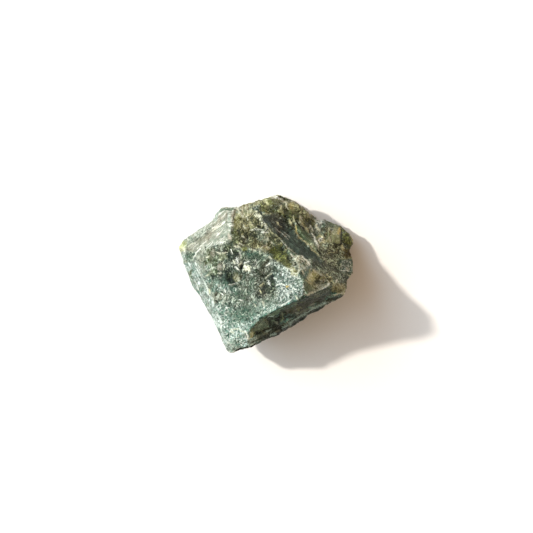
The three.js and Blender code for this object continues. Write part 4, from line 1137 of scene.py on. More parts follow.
@dataclass(frozen=True)
class Press:
    """A place where the surface is pushed a little to one side, fading out smoothly.

    The push at a point is the full push times e to the power of minus the squared
    distance from the middle, measured in reaches.

    Attributes:
        middle: Where the push is strongest, in millimetres.
        reach: How far it reaches along x, y and z.
        push: The full push.
    """

    middle: Place
    reach: Place
    push: Place

    def shift(self, points: np.ndarray) -> np.ndarray:
        """How far each point is pushed.

        Args:
            points: Places in millimetres, one row each.

        Returns:
            The push of each place, one row each.
        """
        away = (points - np.array(self.middle)) / np.array(self.reach)
        return np.exp(-np.sum(away * away, axis=1))[:, None] * np.array(self.push)


PRESSES: tuple[Press, ...] = (
    # The wall behind the knob stands back a little above its toe.
    Press((5.8, 17.0, 2.8), (5.0, 3.0, 1.2), (-0.5, -1.5, 0.0)),
    # Its toe is thin.
    Press((6.8, 16.3, 0.8), (3.2, 1.6, 0.5), (0.0, 0.0, -0.5)),
    Press((7.0, 15.9, 1.4), (1.8, 1.2, 0.9), (-0.3, -0.5, -0.2)),
    Press((3.0, 17.0, 4.6), (2.0, 1.5, 1.8), (0.0, -0.6, 0.0)),
    # Its right shoulder stands in, and higher.
    Press((9.3, 14.6, 4.2), (1.6, 1.6, 2.2), (-0.25, -0.15, 0.5)),
    Press((7.6, 15.0, 4.9), (2.2, 1.6, 1.6), (0.1, 0.55, 0.0)),
    # The band below the scoop swells out in the middle of its length.
    Press((7.2, -10.4, 10.2), (2.9, 2.9, 3.0), (0.35, -0.65, 0.0)),
    Press((2.2, -13.5, 11.0), (2.2, 2.0, 3.0), (0.1, -0.45, 0.0)),
    Press((11.6, -7.9, 11.0), (2.6, 1.8, 3.0), (0.25, -0.65, 0.0)),
    # The corner at its right end stands in, and the rim above it stands out.
    Press((16.4, -3.8, 15.8), (1.8, 1.4, 2.0), (0.1, -0.7, 0.1)),
    Press((16.3, -6.0, 12.0), (1.8, 1.6, 3.0), (-0.15, 0.35, 0.0)),
    # The slope on the right side.
    Press((14.5, 4.5, 10.5), (4.5, 4.0, 5.0), (-0.2, -0.2, -0.45)),
)


@dataclass
class StoneSurface:
    """The stone's visible surface, worked out from the frame's facets.

    Attributes:
        divisions: Into how many steps each facet's edges are cut.
        crisp_angle: Facets that meet at more than this many degrees keep a crisp edge.
        easing_rounds: How often the fine points are eased.
        crisp_share: How much of the easing reaches a crisp edge.
        chunk_size: Width of the broken chunks, in millimetres.
        chunk_height: How far they stand in and out, in millimetres.
        grain_size: Width of the crystals, in millimetres.
        grain_height: How far they stand in and out, in millimetres.
        floor_blend: Height over which the relief fades out above the resting face.
        hollow_shade: Painted shade: how much darker the mass is painted in the hollows between
            crystals.
        hollow_depth: Depth at which that painted shade in a hollow is darkest, in millimetres.
        bend_size: Width of the waves that bend the crystals' edges, in millimetres.
        bend_reach: How far they bend them, in millimetres.
        stray_from: How far a point may stand out before it is drawn back, in millimetres.
        stray_to: How far out it is drawn back all the way, in millimetres.
        points: The fine points, set by build.
        triangles: Point numbers, three to a triangle, set by build.
    """

    divisions: int = 5
    crisp_angle: float = 32.0
    easing_rounds: int = 8
    crisp_share: float = 0.25
    chunk_size: float = 2.3
    chunk_height: float = 0.24
    grain_size: float = 0.95
    grain_height: float = 0.26
    floor_blend: float = 0.8
    hollow_shade: float = 0.55
    hollow_depth: float = 0.08
    bend_size: float = 1.3
    bend_reach: float = 0.35
    stray_from: float = 0.10
    stray_to: float = 0.30
    points: np.ndarray = field(init=False)
    triangles: np.ndarray = field(init=False)

    def build(self, node: bpy.types.Object) -> bpy.types.Object:
        """Builds the finished stone.

        Args:
            node: The frame's own stone.

        Returns:
            The new object, with its minerals painted on as attributes.
        """
        corners, facets = self.sewn_facets(node.data)
        crisp = self.cut_into_patches(corners, facets)
        self.ease_faces(crisp)
        self.points = self.points / MM
        self.points = self.points + sum(press.shift(self.points) for press in PRESSES)
        painter = Painter(self.points, self.outward())
        painter.paint()
        depth = self.raise_crystals(painter)
        # Painted shade: the mass is painted darker where a point lies below the mean of its neighbours,
        # in the hollows between crystals.
        around = self.neighbour_mean(self.neighbour_mean(depth[:, None]))[:, 0]
        painter.paint_shade(self.hollow_shade * ease(around - depth, 0.0, self.hollow_depth))
        low, high = (np.array(corner) / MM for corner in CAD_BOX)
        self.points = np.clip(self.points, low, high)
        stone = self.as_object()
        painter.store(stone.data)
        return stone

    def sewn_facets(self, mesh: bpy.types.Mesh) -> tuple[np.ndarray, np.ndarray]:
        """Reads the frame's loose triangles and gives corners at one place one number.

        Args:
            mesh: The frame's own mesh, in metres.

        Returns:
            The corners' places, and corner numbers, three to a facet.
        """
        places = np.empty(len(mesh.vertices) * 3)
        mesh.vertices.foreach_get("co", places)
        numbers = np.empty(len(mesh.loops), dtype=np.int64)
        mesh.loops.foreach_get("vertex_index", numbers)
        whole = np.round(places.reshape(-1, 3) / (WELD * MM)).astype(np.int64)
        _, first, renumber = np.unique(whole, axis=0, return_index=True, return_inverse=True)
        facets = renumber.reshape(-1)[numbers].reshape(-1, 3)
        real = (facets != np.roll(facets, 1, axis=1)).all(axis=1)
        return places.reshape(-1, 3)[first], facets[real]

    def cut_into_patches(self, corners: np.ndarray, facets: np.ndarray) -> np.ndarray:
        """Makes each facet a triangular patch of finer triangles.

        A patch's point with parameters s and t is a + s (b - a) + t (c - a). Points on a
        facet's corner or edge have one number shared by all facets there.

        Args:
            corners: The facets' corners.
            facets: Corner numbers, three to a facet.

        Returns:
            Which of the fine points lie on an edge that stays crisp.
        """
        steps = self.divisions
        sides = np.stack([facets, np.roll(facets, -1, axis=1)], axis=2).reshape(-1, 2)
        ordered = np.sort(sides, axis=1)
        edges, side_edge = np.unique(ordered, axis=0, return_inverse=True)
        side_edge = side_edge.reshape(-1)
        forward = sides[:, 0] == ordered[:, 0]

        share = np.arange(1, steps) / steps
        start, end = corners[edges[:, 0]], corners[edges[:, 1]]
        on_edges = start[:, None] + share[:, None] * (end - start)[:, None]
        grid = [(s, t) for s in range(1, steps) for t in range(1, steps - s)]
        a, b, c = (corners[facets[:, corner]] for corner in range(3))
        inner = np.array(grid, dtype=float).reshape(-1, 2) / steps
        in_faces = (
            a[:, None]
            + inner[:, 0, None] * (b - a)[:, None]
            + inner[:, 1, None] * (c - a)[:, None]
        )
        self.points = np.concatenate([corners, on_edges.reshape(-1, 3), in_faces.reshape(-1, 3)])

        edge_start = len(corners)
        face_start = edge_start + len(edges) * (steps - 1)
        runs = edge_start + side_edge[:, None] * (steps - 1) + np.arange(steps - 1)
        runs = np.where(forward[:, None], runs, runs[:, ::-1]).reshape(-1, 3, steps - 1)
        number = np.zeros((len(facets), steps + 1, steps + 1), dtype=np.int64)
        number[:, 0, 0], number[:, steps, 0], number[:, 0, steps] = facets.T
        for step in range(1, steps):
            number[:, step, 0] = runs[:, 0, step - 1]
            number[:, steps - step, step] = runs[:, 1, step - 1]
            number[:, 0, steps - step] = runs[:, 2, step - 1]
        for place, (s, t) in enumerate(grid):
            number[:, s, t] = face_start + np.arange(len(facets)) * len(grid) + place
        upright = [
            (number[:, s, t], number[:, s + 1, t], number[:, s, t + 1])
            for s in range(steps)
            for t in range(steps - s)
        ]
        turned = [
            (number[:, s + 1, t], number[:, s + 1, t + 1], number[:, s, t + 1])
            for s in range(steps)
            for t in range(steps - s - 1)
        ]
        self.triangles = np.stack([np.stack(three, axis=1) for three in upright + turned], axis=1)
        self.triangles = self.triangles.reshape(-1, 3)
        return self.crisp_points(corners, facets, side_edge, len(edges))

    def crisp_points(
        self, corners: np.ndarray, facets: np.ndarray, side_edge: np.ndarray, count: int
    ) -> np.ndarray:
        """Marks the fine points on edges whose two facets meet at a sharp angle.

        Args:
            corners: The facets' corners.
            facets: Corner numbers, three to a facet.
            side_edge: The edge number of each facet's side, facet by facet.
            count: How many edges there are.

        Returns:
            One truth value for each fine point.
        """
        a, b, c = (corners[facets[:, corner]] for corner in range(3))
        normals = np.cross(b - a, c - a)
        normals /= np.linalg.norm(normals, axis=1, keepdims=True)
        sums = np.zeros((count, 3))
        np.add.at(sums, side_edge, np.repeat(normals, 3, axis=0))
        half_angle = math.radians(self.crisp_angle) / 2.0
        sharp = np.linalg.norm(sums, axis=1) < 2.0 * math.cos(half_angle)
        crisp = np.zeros(len(self.points), dtype=bool)
        on_edges = np.repeat(sharp, self.divisions - 1)
        crisp[len(corners) : len(corners) + len(on_edges)] = on_edges
        sides = np.stack([facets, np.roll(facets, -1, axis=1)], axis=2).reshape(-1, 2)
        crisp[sides[sharp[side_edge]].reshape(-1)] = True
        return crisp

    def neighbour_mean(self, values: np.ndarray) -> np.ndarray:
        """Averages the values of each point's neighbours.

        Args:
            values: One row for each point.

        Returns:
            The means, one row for each point.
        """
        starts = self.triangles.reshape(-1)
        ends = np.roll(self.triangles, -1, axis=1).reshape(-1)
        count = np.bincount(starts, minlength=len(values))
        totals = [
            np.bincount(starts, weights=values[ends, axis], minlength=len(values))
            for axis in range(values.shape[1])
        ]
        return np.stack(totals, axis=1) / count[:, None]

    def ease_faces(self, crisp: np.ndarray) -> None:
        """Moves each point towards the middle of its neighbours, crisp edges less.

        Args:
            crisp: Which points lie on an edge that stays crisp.
        """
        share = np.where(crisp, self.crisp_share, 1.0) * 0.5
        share = np.where(self.points[:, 2] < FLOOR_LEVEL * MM, 0.0, share)
        for _ in range(self.easing_rounds):
            middle = self.neighbour_mean(self.points)
            self.points = self.points + (middle - self.points) * share[:, None]

    def outward(self) -> np.ndarray:
        """Works out the outward direction at each point from the triangles around it.

        Returns:
            Directions of length 1, one row for each point.
        """
        a, b, c = (self.points[self.triangles[:, corner]] for corner in range(3))
        faces = np.cross(b - a, c - a)
        normals = np.zeros_like(self.points)
        for corner in range(3):
            np.add.at(normals, self.triangles[:, corner], faces)
        return normals / np.maximum(np.linalg.norm(normals, axis=1, keepdims=True), 1e-12)

    def raise_crystals(self, painter: "Painter") -> np.ndarray:
        """Pushes chunks and crystals in and out along the outward direction.

        The depth is the chunks' tilted faces times their height, plus the crystals'
        tilted faces times theirs, all times the mineral's relief, plus the mineral's own
        level. It fades out just above the resting face. A point that stands far out from
        its neighbours is drawn back among them.

        Args:
            painter: The minerals at each point.

        Returns:
            How far each point moved outwards, in millimetres.
        """
        bend = [smooth_noise(self.points, self.bend_size, seed) for seed in BEND_SEEDS]
        bent = self.points + self.bend_reach * np.stack(bend, axis=1)
        chunks, _ = crystal_facets(bent, self.chunk_size, CHUNK_SEED)
        grains, _ = crystal_facets(bent, self.grain_size, GRAIN_SEED)
        depth = self.chunk_height * chunks + self.grain_height * grains
        depth = depth * painter.habit[:, 2] + painter.level
        depth = depth * ease(self.points[:, 2], FLOOR_LEVEL, self.floor_blend)
        self.points = self.points + self.outward() * depth[:, None]
        stray = self.points - self.neighbour_mean(self.points)
        length = np.linalg.norm(stray, axis=1, keepdims=True)
        self.points = self.points - stray * ease(length, self.stray_from, self.stray_to)
        self.points[:, 2] = np.maximum(self.points[:, 2], 0.0)
        return depth

    def as_object(self) -> bpy.types.Object:
        """Puts the points and triangles into a smooth-shaded mesh object, in metres.

        Returns:
            The object.
        """
        mesh = bpy.data.meshes.new(STONE + "_surface")
        mesh.vertices.add(len(self.points))
        mesh.vertices.foreach_set("co", (self.points * MM).ravel())
        mesh.loops.add(self.triangles.size)
        mesh.loops.foreach_set("vertex_index", self.triangles.ravel())
        mesh.polygons.add(len(self.triangles))
        mesh.polygons.foreach_set("loop_start", np.arange(0, self.triangles.size, 3))
        mesh.polygons.foreach_set("use_smooth", np.ones(len(self.triangles), dtype=bool))
        mesh.update(calc_edges=True)
        mesh.validate()
        stone = bpy.data.objects.new(STONE + "_surface", mesh)
        bpy.context.collection.objects.link(stone)
        return stone


@dataclass
class Painter:
    """Paints the minerals on the stone's points.

    Attributes:
        points: The stone's points, in millimetres.
        outward: The outward direction at each point.
        drift: How far noise shifts the marks' edges, in millimetres.
        steep_drift: How much farther it shifts them on upright faces.
        step: How far single crystals shift them, in millimetres.
        drift_size: Width of the noise that shifts them, in millimetres.
        step_size: Width of those crystals, in millimetres.
        fray_size: Width of the noise that frays them, in millimetres.
        line_share: How much of the drift reaches thin lines.
        skin_fray: How far noise shifts the skin's edge, in units of outward z.
        colours: Ground, second and crystal colour at each point.
        habit: Share, roughness, relief and streak at each point.
        level: How far the mineral stands out at each point, in millimetres.
        flow: Place of each point measured across and along its streaks.
        vein: Colour and strength of the nearest thin line.
        seam: Distance from that line, in half widths.
    """

    points: np.ndarray
    outward: np.ndarray
    drift: float = 0.3
    steep_drift: float = 1.5
    step: float = 0.25
    drift_size: float = 2.4
    step_size: float = 0.8
    fray_size: float = 1.2
    line_share: float = 0.45
    skin_fray: float = 0.15
    colours: np.ndarray = field(init=False)
    habit: np.ndarray = field(init=False)
    level: np.ndarray = field(init=False)
    flow: np.ndarray = field(init=False)
    vein: np.ndarray = field(init=False)
    seam: np.ndarray = field(init=False)

    def __post_init__(self) -> None:
        """Starts from grey-green stone everywhere."""
        count = len(self.points)
        self.colours = np.zeros((count, 3, 3))
        self.habit = np.zeros((count, 4))
        self.level = np.zeros(count)
        self.flow = np.zeros((count, 3))
        self.vein = np.zeros((count, 4))
        self.seam = np.full(count, OFF_LINE)
        self.lay(Kind.SAGE, np.ones(count), 0.0)

    def lay(self, kind: Kind, cover: np.ndarray, flow: float) -> None:
        """Lays one mineral over what is there.

        Args:
            kind: The mineral.
            cover: How far it covers each point, from 0 to 1.
            flow: Direction of its streaks seen from above, in degrees from +X.
        """
        mineral = kind.value
        colours = np.array([mineral.ground, mineral.second, mineral.fleck])
        habit = np.array([mineral.share, mineral.roughness, mineral.relief, mineral.streak])
        self.colours += (colours - self.colours) * cover[:, None, None]
        self.habit += (habit - self.habit) * cover[:, None]
        self.level += (mineral.level - self.level) * cover
        turn = math.radians(flow)
        x, y, z = self.points.T
        along = x * math.cos(turn) + y * math.sin(turn)
        across = y * math.cos(turn) - x * math.sin(turn)
        stream = np.stack([across, along, z], axis=1)
        self.flow = np.where(cover[:, None] > 0.5, stream, self.flow)

    def draw(
        self, kind: Kind, gap: np.ndarray, side: np.ndarray, half: float, strength: float
    ) -> None:
        """Draws one thin line of a mineral.

        Each point near the line keeps the line's colour and its own distance from it, which
        changes sign across the line, so that the line is crisp between the points as well.

        Args:
            kind: The mineral.
            gap: Distance of each point from the line, in millimetres.
            side: 1 on the line's left and -1 on its right.
            half: Half the line's width.
            strength: How far it covers what is under it, from 0 to 1.
        """
        near = strength * ease(gap, half + LINE_EDGE[0], half + LINE_EDGE[1])
        closer = (near > 0.0) & (gap / half < np.abs(self.seam))
        colour = np.append(kind.value.line_colour(), 0.0)
        line = np.tile(colour, (len(gap), 1))
        line[:, 3] = near
        self.vein = np.where(closer[:, None], line, self.vein)
        self.seam = np.where(closer, side * gap / half, self.seam)
        self.level += (kind.value.level - self.level) * strength * ease(gap, 2.0 * half, half)

    def sheet(self) -> Sheet:
        """Shifts the plan of the points by noise and by whole crystals.

        Returns:
            The plan for patches, the plan for lines, and the fraying.
        """
        noise = [rough_noise(self.points, self.drift_size, seed) for seed in DRIFT_SEEDS]
        _, tilt = crystal_facets(self.points, self.step_size, STEP_SEED)
        steep = ease(self.outward[:, 2], *STEEP)
        drift = self.drift + self.steep_drift * steep
        shift = drift[:, None] * np.stack(noise, axis=1)
        lines = self.points[:, :2] + self.line_share * shift
        plan = self.points[:, :2] + shift + self.step * tilt[:, :2]
        return Sheet(plan, lines, rough_noise(self.points, self.fray_size, FRAY_SEED, octaves=4))

    def paint(self) -> None:
        """Lays all marks on the upper side, and the skin on what faces down."""
        sheet = self.sheet()
        for mark in MARKS:
            mark.paint(self, sheet)
        down = ease(self.outward[:, 2] + self.skin_fray * sheet.fray, *UNDERSIDE)
        self.lay(Kind.SKIN, down, 0.0)

    def paint_shade(self, amount: np.ndarray) -> None:
        """Paints shade on the mass, but not on the crystals, by an amount from 0 to 1."""
        self.colours[:, :2] *= (1.0 - amount)[:, None, None]

    def store(self, mesh: bpy.types.Mesh) -> None:
        """Stores what was painted as the mesh's attributes.

        Args:
            mesh: The finished mesh, with one vertex for each point.
        """
        opaque = np.ones((len(self.points), 1))
        layers = {
            name: np.concatenate([self.colours[:, place], opaque], axis=1)
            for place, name in enumerate(("ground", "second", "fleck"))
        }
        layers["habit"] = self.habit
        layers["vein"] = self.vein
        for name, values in layers.items():
            layer = mesh.attributes.new(name, "FLOAT_COLOR", "POINT")
            layer.data.foreach_set("color", values.ravel())
        seam = mesh.attributes.new("seam", "FLOAT", "POINT")
        seam.data.foreach_set("value", self.seam)
        stream = mesh.attributes.new("flow", "FLOAT_VECTOR", "POINT")
        stream.data.foreach_set("vector", self.flow.ravel())


# ---- The stone's material ------------------------------------------------------------


@dataclass
class NodeTree:
    """Short ways to add shader nodes and join them.

    Attributes:
        tree: The node tree that the nodes go into.
    """

    tree: bpy.types.NodeTree

    def join(self, value: object, socket: bpy.types.NodeSocket) -> None:
        """Joins an output to a socket, or sets the socket's own value.

        Args:
            value: An output, a node whose first output is meant, or a plain value.
            socket: The input.
        """
        if isinstance(value, bpy.types.NodeSocket):
            self.tree.links.new(value, socket)
        elif isinstance(value, bpy.types.Node):
            self.tree.links.new(value.outputs[0], socket)
        else:
            socket.default_value = value

    def add(self, kind: str, **inputs: object) -> bpy.types.Node:
        """Adds a node.

        Args:
            kind: The node's type.
            **inputs: What goes into its named inputs.

        Returns:
            The node.
        """
        node = self.tree.nodes.new(kind)
        for name, value in inputs.items():
            self.join(value, node.inputs[name])
        return node

    def attribute(self, name: str) -> bpy.types.Node:
        """Adds a node that reads one of the mesh's attributes.

        Args:
            name: The attribute's name.

        Returns:
            The node.
        """
        node = self.tree.nodes.new("ShaderNodeAttribute")
        node.attribute_name = name
        return node

    def math(self, operation: str, *values: object) -> bpy.types.NodeSocket:
        """Adds one Math node.

        Args:
            operation: What it does.
            *values: Its values in order.

        Returns:
            Its result.
        """
        node = self.tree.nodes.new("ShaderNodeMath")
        node.operation = operation
        for socket, value in zip(node.inputs, values):
            self.join(value, socket)
        return node.outputs["Value"]

    def vector(self, operation: str, *values: object) -> bpy.types.NodeSocket:
        """Adds one Vector Math node.

        Args:
            operation: What it does.
            *values: Its vectors in order; SCALE has a number last.

        Returns:
            Its result.
        """
        node = self.tree.nodes.new("ShaderNodeVectorMath")
        node.operation = operation
        if operation == "SCALE":
            self.join(values[1], node.inputs["Scale"])
            values = values[:1]
        for socket, value in zip(node.inputs, values):
            self.join(value, socket)
        return node.outputs["Value" if operation == "DOT_PRODUCT" else "Vector"]

    def noise(self, place: object, size: float, detail: float = 3.0) -> bpy.types.Node:
        """One Noise Texture node whose lumps are about size wide."""
        return self.add("ShaderNodeTexNoise", Vector=place, Scale=1.0 / size, Detail=detail)

    def ramp(self, value: object, low: object, high: object) -> bpy.types.NodeSocket:
        """Adds an S-shaped ramp.

        Args:
            value: Where on the ramp.
            low: Where it is 0; this may be above high.
            high: Where it is 1.

        Returns:
            A number from 0 to 1.
        """
        node = self.tree.nodes.new("ShaderNodeMapRange")
        node.interpolation_type = "SMOOTHSTEP"
        for name, number in (("Value", value), ("From Min", low), ("From Max", high)):
            self.join(number, node.inputs[name])
        return node.outputs["Result"]

    def mix(self, share: object, first: object, second: object) -> bpy.types.NodeSocket:
        """Mixes two numbers.

        Args:
            share: How much of the second shows, from 0 to 1.
            first: The first number.
            second: The second number.

        Returns:
            The mixed number.
        """
        node = self.tree.nodes.new("ShaderNodeMix")
        for place, value in zip((0, 2, 3), (share, first, second)):
            self.join(value, node.inputs[place])
        return node.outputs[0]

    def blend(self, share: object, first: object, second: object) -> bpy.types.NodeSocket:
        """Mixes two colours.

        Args:
            share: How much of the second shows, from 0 to 1.
            first: The first colour.
            second: The second colour.

        Returns:
            The mixed colour.
        """
        node = self.tree.nodes.new("ShaderNodeMix")
        node.data_type = "RGBA"
        for place, value in zip((0, 6, 7), (share, first, second)):
            self.join(value, node.inputs[place])
        return node.outputs[2]


@dataclass(frozen=True)
class AgateFinish:
    """The one material of the stone: crystals in a darker, drifting ground, and streaks.

    Attributes:
        domain: Width of a region in which all crystals lie one way, in millimetres.
        thin: Width of a small crystal, in millimetres.
        long: Length of a small crystal, in millimetres.
        large: How many times as big the large crystals are.
        large_share: How many of them show, as a part of the small ones' share.
        fine: Width of the finest grain, in millimetres.
        cluster: Width of the clusters of crystals, in millimetres.
        drift: Width over which the mass changes its colour, in millimetres.
        streak_thin: Width of a streak, in millimetres.
        streak_long: Length of a streak, in millimetres.
        contrast: How much darker and lighter than the mean single crystals are.
        slope: Height of the crystals' faces in the shading, in their own widths.
        bend_size: Width of the waves that bend the crystals, in millimetres.
        bend_reach: How far they bend them, in millimetres.
        drift_edge: Noise values between which the mass changes its colour.
        streak_edge: The same where it is drawn out in streaks.
        lot_edge: Noise values between which streaks turn to crystal.
        large_edge: Lots between which a large crystal fades in.
        line_edge: Distances between which a thin line fades in, in half widths.
        edge: Half the width over which a small crystal fades in, as a part of the share.
        bright_large: How bright a large crystal is, 1 for the mineral's crystal colour.
        gloss_range: How far single crystals differ in roughness.
        refraction: Refractive index of chalcedony.
        shine: How strongly the surface mirrors, 0.5 for a polished one.
    """

    domain: float = 1.7
    thin: float = 0.19
    long: float = 0.42
    large: float = 1.9
    large_share: float = 0.35
    fine: float = 0.13
    cluster: float = 2.4
    drift: float = 1.5
    streak_thin: float = 0.26
    streak_long: float = 3.0
    contrast: float = 0.6
    slope: float = 1.0
    bend_size: float = 0.9
    bend_reach: float = 0.6
    drift_edge: Point = (0.38, 0.62)
    streak_edge: Point = (0.35, 0.65)
    lot_edge: Point = (0.3, 0.7)
    large_edge: Point = (0.98, 1.04)
    line_edge: Point = (1.75, 1.15)
    edge: float = 0.20
    bright_large: float = 1.35
    gloss_range: float = 0.4
    refraction: float = 1.54
    shine: float = 0.15

    def material(self) -> bpy.types.Material:
        """Builds the material.

        Returns:
            The material.
        """
        material = bpy.data.materials.new("moss_agate_stone")
        material.use_nodes = True
        tree = NodeTree(material.node_tree)
        shader = material.node_tree.nodes["Principled BSDF"]
        shader.inputs["IOR"].default_value = self.refraction
        shader.inputs["Specular IOR Level"].default_value = self.shine

        habit = tree.attribute("habit")
        parts = tree.add("ShaderNodeSeparateColor", Color=habit.outputs["Color"])
        share, dullness, relief = (parts.outputs[name] for name in ("Red", "Green", "Blue"))
        streak = habit.outputs["Alpha"]

        place = tree.add("ShaderNodeTexCoord").outputs["Object"]
        place = tree.vector("SCALE", place, 1.0 / MM)
        waves = tree.noise(place, self.bend_size).outputs["Color"]
        bend = tree.vector("SUBTRACT", waves, (0.5, 0.5, 0.5))
        bent = tree.vector("ADD", place, tree.vector("SCALE", bend, self.bend_reach))
        grain = tree.noise(bent, self.fine).outputs["Fac"]
        cluster = tree.noise(place, self.cluster).outputs["Fac"]
        lines = self.streaks(tree)
        crystal, facet = self.crystals(tree, bent, 1.0)
        lot, tone, gloss = (crystal.outputs[name] for name in ("Red", "Green", "Blue"))
        big_crystal, big_facet = self.crystals(tree, bent, self.large)

        wander = tree.ramp(tree.noise(place, self.drift).outputs["Fac"], *self.drift_edge)
        wander = tree.mix(streak, wander, tree.ramp(lines, *self.streak_edge))
        mass = tree.blend(wander, tree.attribute("ground").outputs["Color"],
                          tree.attribute("second").outputs["Color"])
        tone = tree.math("MULTIPLY_ADD", tone, 2.0 * self.contrast, -self.contrast)
        tone = tree.math("MULTIPLY_ADD", tree.math("SUBTRACT", grain, 0.5), 1.6, tone)
        tone = tree.math("MULTIPLY_ADD", tone, tree.math("MINIMUM", relief, 1.0), 1.0)
        mass = tree.vector("SCALE", mass, tone)

        # The pale crystals are partly the stone's own crystals and partly painted glints: the surface
        # mirrors little, and the brightness of the flecks stands in for facets that catch the light.
        lot = tree.mix(streak, lot, tree.ramp(lines, *self.lot_edge))
        lot = tree.math("MULTIPLY_ADD", tree.math("SUBTRACT", cluster, 0.5), 1.1, lot)
        lot = tree.math("MULTIPLY_ADD", tree.math("SUBTRACT", grain, 0.5), 0.8, lot)
        over = tree.math("ADD", lot, tree.math("SUBTRACT", share, 1.0))
        chosen = tree.ramp(over, -self.edge, self.edge)
        bright = tree.math("MULTIPLY_ADD", over, 1.1, 0.75)
        big_lot = tree.math("MULTIPLY_ADD", tree.math("SUBTRACT", cluster, 0.5), 0.5,
                            big_crystal.outputs["Red"])
        big_lot = tree.math("MULTIPLY_ADD", share, self.large_share, big_lot)
        big_chosen = tree.math("MULTIPLY", tree.ramp(big_lot, *self.large_edge),
                               tree.math("SUBTRACT", 1.0, streak))
        chosen = tree.math("MAXIMUM", chosen, big_chosen)
        big_bright = tree.math("MULTIPLY", big_chosen, self.bright_large)
        bright = tree.math("MAXIMUM", bright, big_bright)
        fleck = tree.vector("SCALE", tree.attribute("fleck").outputs["Color"], bright)
        stone = tree.blend(chosen, mass, fleck)
        tree.join(self.veined(tree, stone, grain, crystal), shader.inputs["Base Color"])

        dull = tree.math("MULTIPLY_ADD", gloss, self.gloss_range, -0.5 * self.gloss_range)
        tree.join(tree.math("ADD", dullness, dull), shader.inputs["Roughness"])

        height = tree.math("MULTIPLY", facet, 0.7 * self.slope * self.thin)
        height = tree.math("MULTIPLY_ADD", big_facet, 0.5 * self.slope * self.large * self.thin,
                           height)
        height = tree.math("MULTIPLY_ADD", grain, 0.10, height)
        height = tree.math("MULTIPLY", height, relief)
        ripple = tree.math("MULTIPLY", lines, streak)
        height = tree.math("MULTIPLY_ADD", ripple, 0.08, height)
        bump = tree.add("ShaderNodeBump", Height=height, Distance=MM)
        tree.join(bump.outputs["Normal"], shader.inputs["Normal"])
        return material

    def veined(
        self, tree: NodeTree, stone: bpy.types.NodeSocket, grain: bpy.types.NodeSocket,
        crystal: bpy.types.Node,
    ) -> bpy.types.NodeSocket:
        """Draws the thin lines over the stone's colour.

        A line shows where the distance from it, in half widths, is below about 1. The
        grain and each whole crystal's own random number fray it.

        Args:
            tree: The node tree.
            stone: The stone's colour without lines.
            grain: The finest grain, about 0.5 on average.
            crystal: The three random numbers of each crystal.

        Returns:
            The colour with the lines.
        """
        vein = tree.attribute("vein")
        gap = tree.math("ABSOLUTE", tree.attribute("seam").outputs["Fac"])
        gap = tree.math("MULTIPLY_ADD", tree.math("SUBTRACT", grain, 0.5), 1.6, gap)
        gap = tree.math("MULTIPLY_ADD", crystal.outputs["Blue"], 1.1, gap)
        shows = tree.math("MULTIPLY", tree.ramp(gap, *self.line_edge), vein.outputs["Alpha"])
        tone = tree.math("MULTIPLY_ADD", crystal.outputs["Green"], 0.8, 0.6)
        return tree.blend(shows, stone, tree.vector("SCALE", vein.outputs["Color"], tone))

    def streaks(self, tree: NodeTree) -> bpy.types.NodeSocket:
        """Draws noise out along the mineral's flow.

        Args:
            tree: The node tree.

        Returns:
            The noise, about 0.5 on average.
        """
        stretched = tree.add("ShaderNodeMapping", Vector=tree.attribute("flow").outputs["Vector"])
        stretched.inputs["Scale"].default_value = (
            1.0 / self.streak_thin, 1.0 / self.streak_long, 1.0 / self.streak_long,
        )
        return tree.noise(stretched.outputs["Vector"], 1.0).outputs["Fac"]

    def crystals(
        self, tree: NodeTree, place: bpy.types.NodeSocket, size: float
    ) -> tuple[bpy.types.Node, bpy.types.NodeSocket]:
        """Long crystals that lie one way within a domain and another way in the next.

        Args:
            tree: The node tree.
            place: Where the surface is, in millimetres.
            size: How many times as big as the small ones they are.

        Returns:
            A node with three random numbers for each crystal, and the height of its flat
            tilted face in units of its width.
        """
        domain = tree.add("ShaderNodeTexVoronoi", Vector=place, Scale=1.0 / self.domain)
        thin, long = self.thin * size, self.long * size
        axis = tree.vector("SUBTRACT", domain.outputs["Color"], (0.5, 0.5, 0.5))
        parts = tree.add("ShaderNodeSeparateColor", Color=domain.outputs["Color"])
        angle = tree.math("MULTIPLY", parts.outputs["Red"], 2.0 * math.pi)
        turned = tree.add("ShaderNodeVectorRotate", Vector=place, Axis=axis, Angle=angle)
        stretched = tree.vector("MULTIPLY", turned, (1.0 / thin, 1.0 / long, 1.0 / thin))
        cells = tree.add("ShaderNodeTexVoronoi", Vector=stretched, Scale=1.0)
        away = tree.vector("SUBTRACT", stretched, cells.outputs["Position"])
        tilt = tree.vector("SUBTRACT", cells.outputs["Color"], (0.5, 0.5, 0.5))
        facet = tree.vector("DOT_PRODUCT", away, tilt)
        return tree.add("ShaderNodeSeparateColor", Color=cells.outputs["Color"]), facet


# ---- The studio ----------------------------------------------------------------------


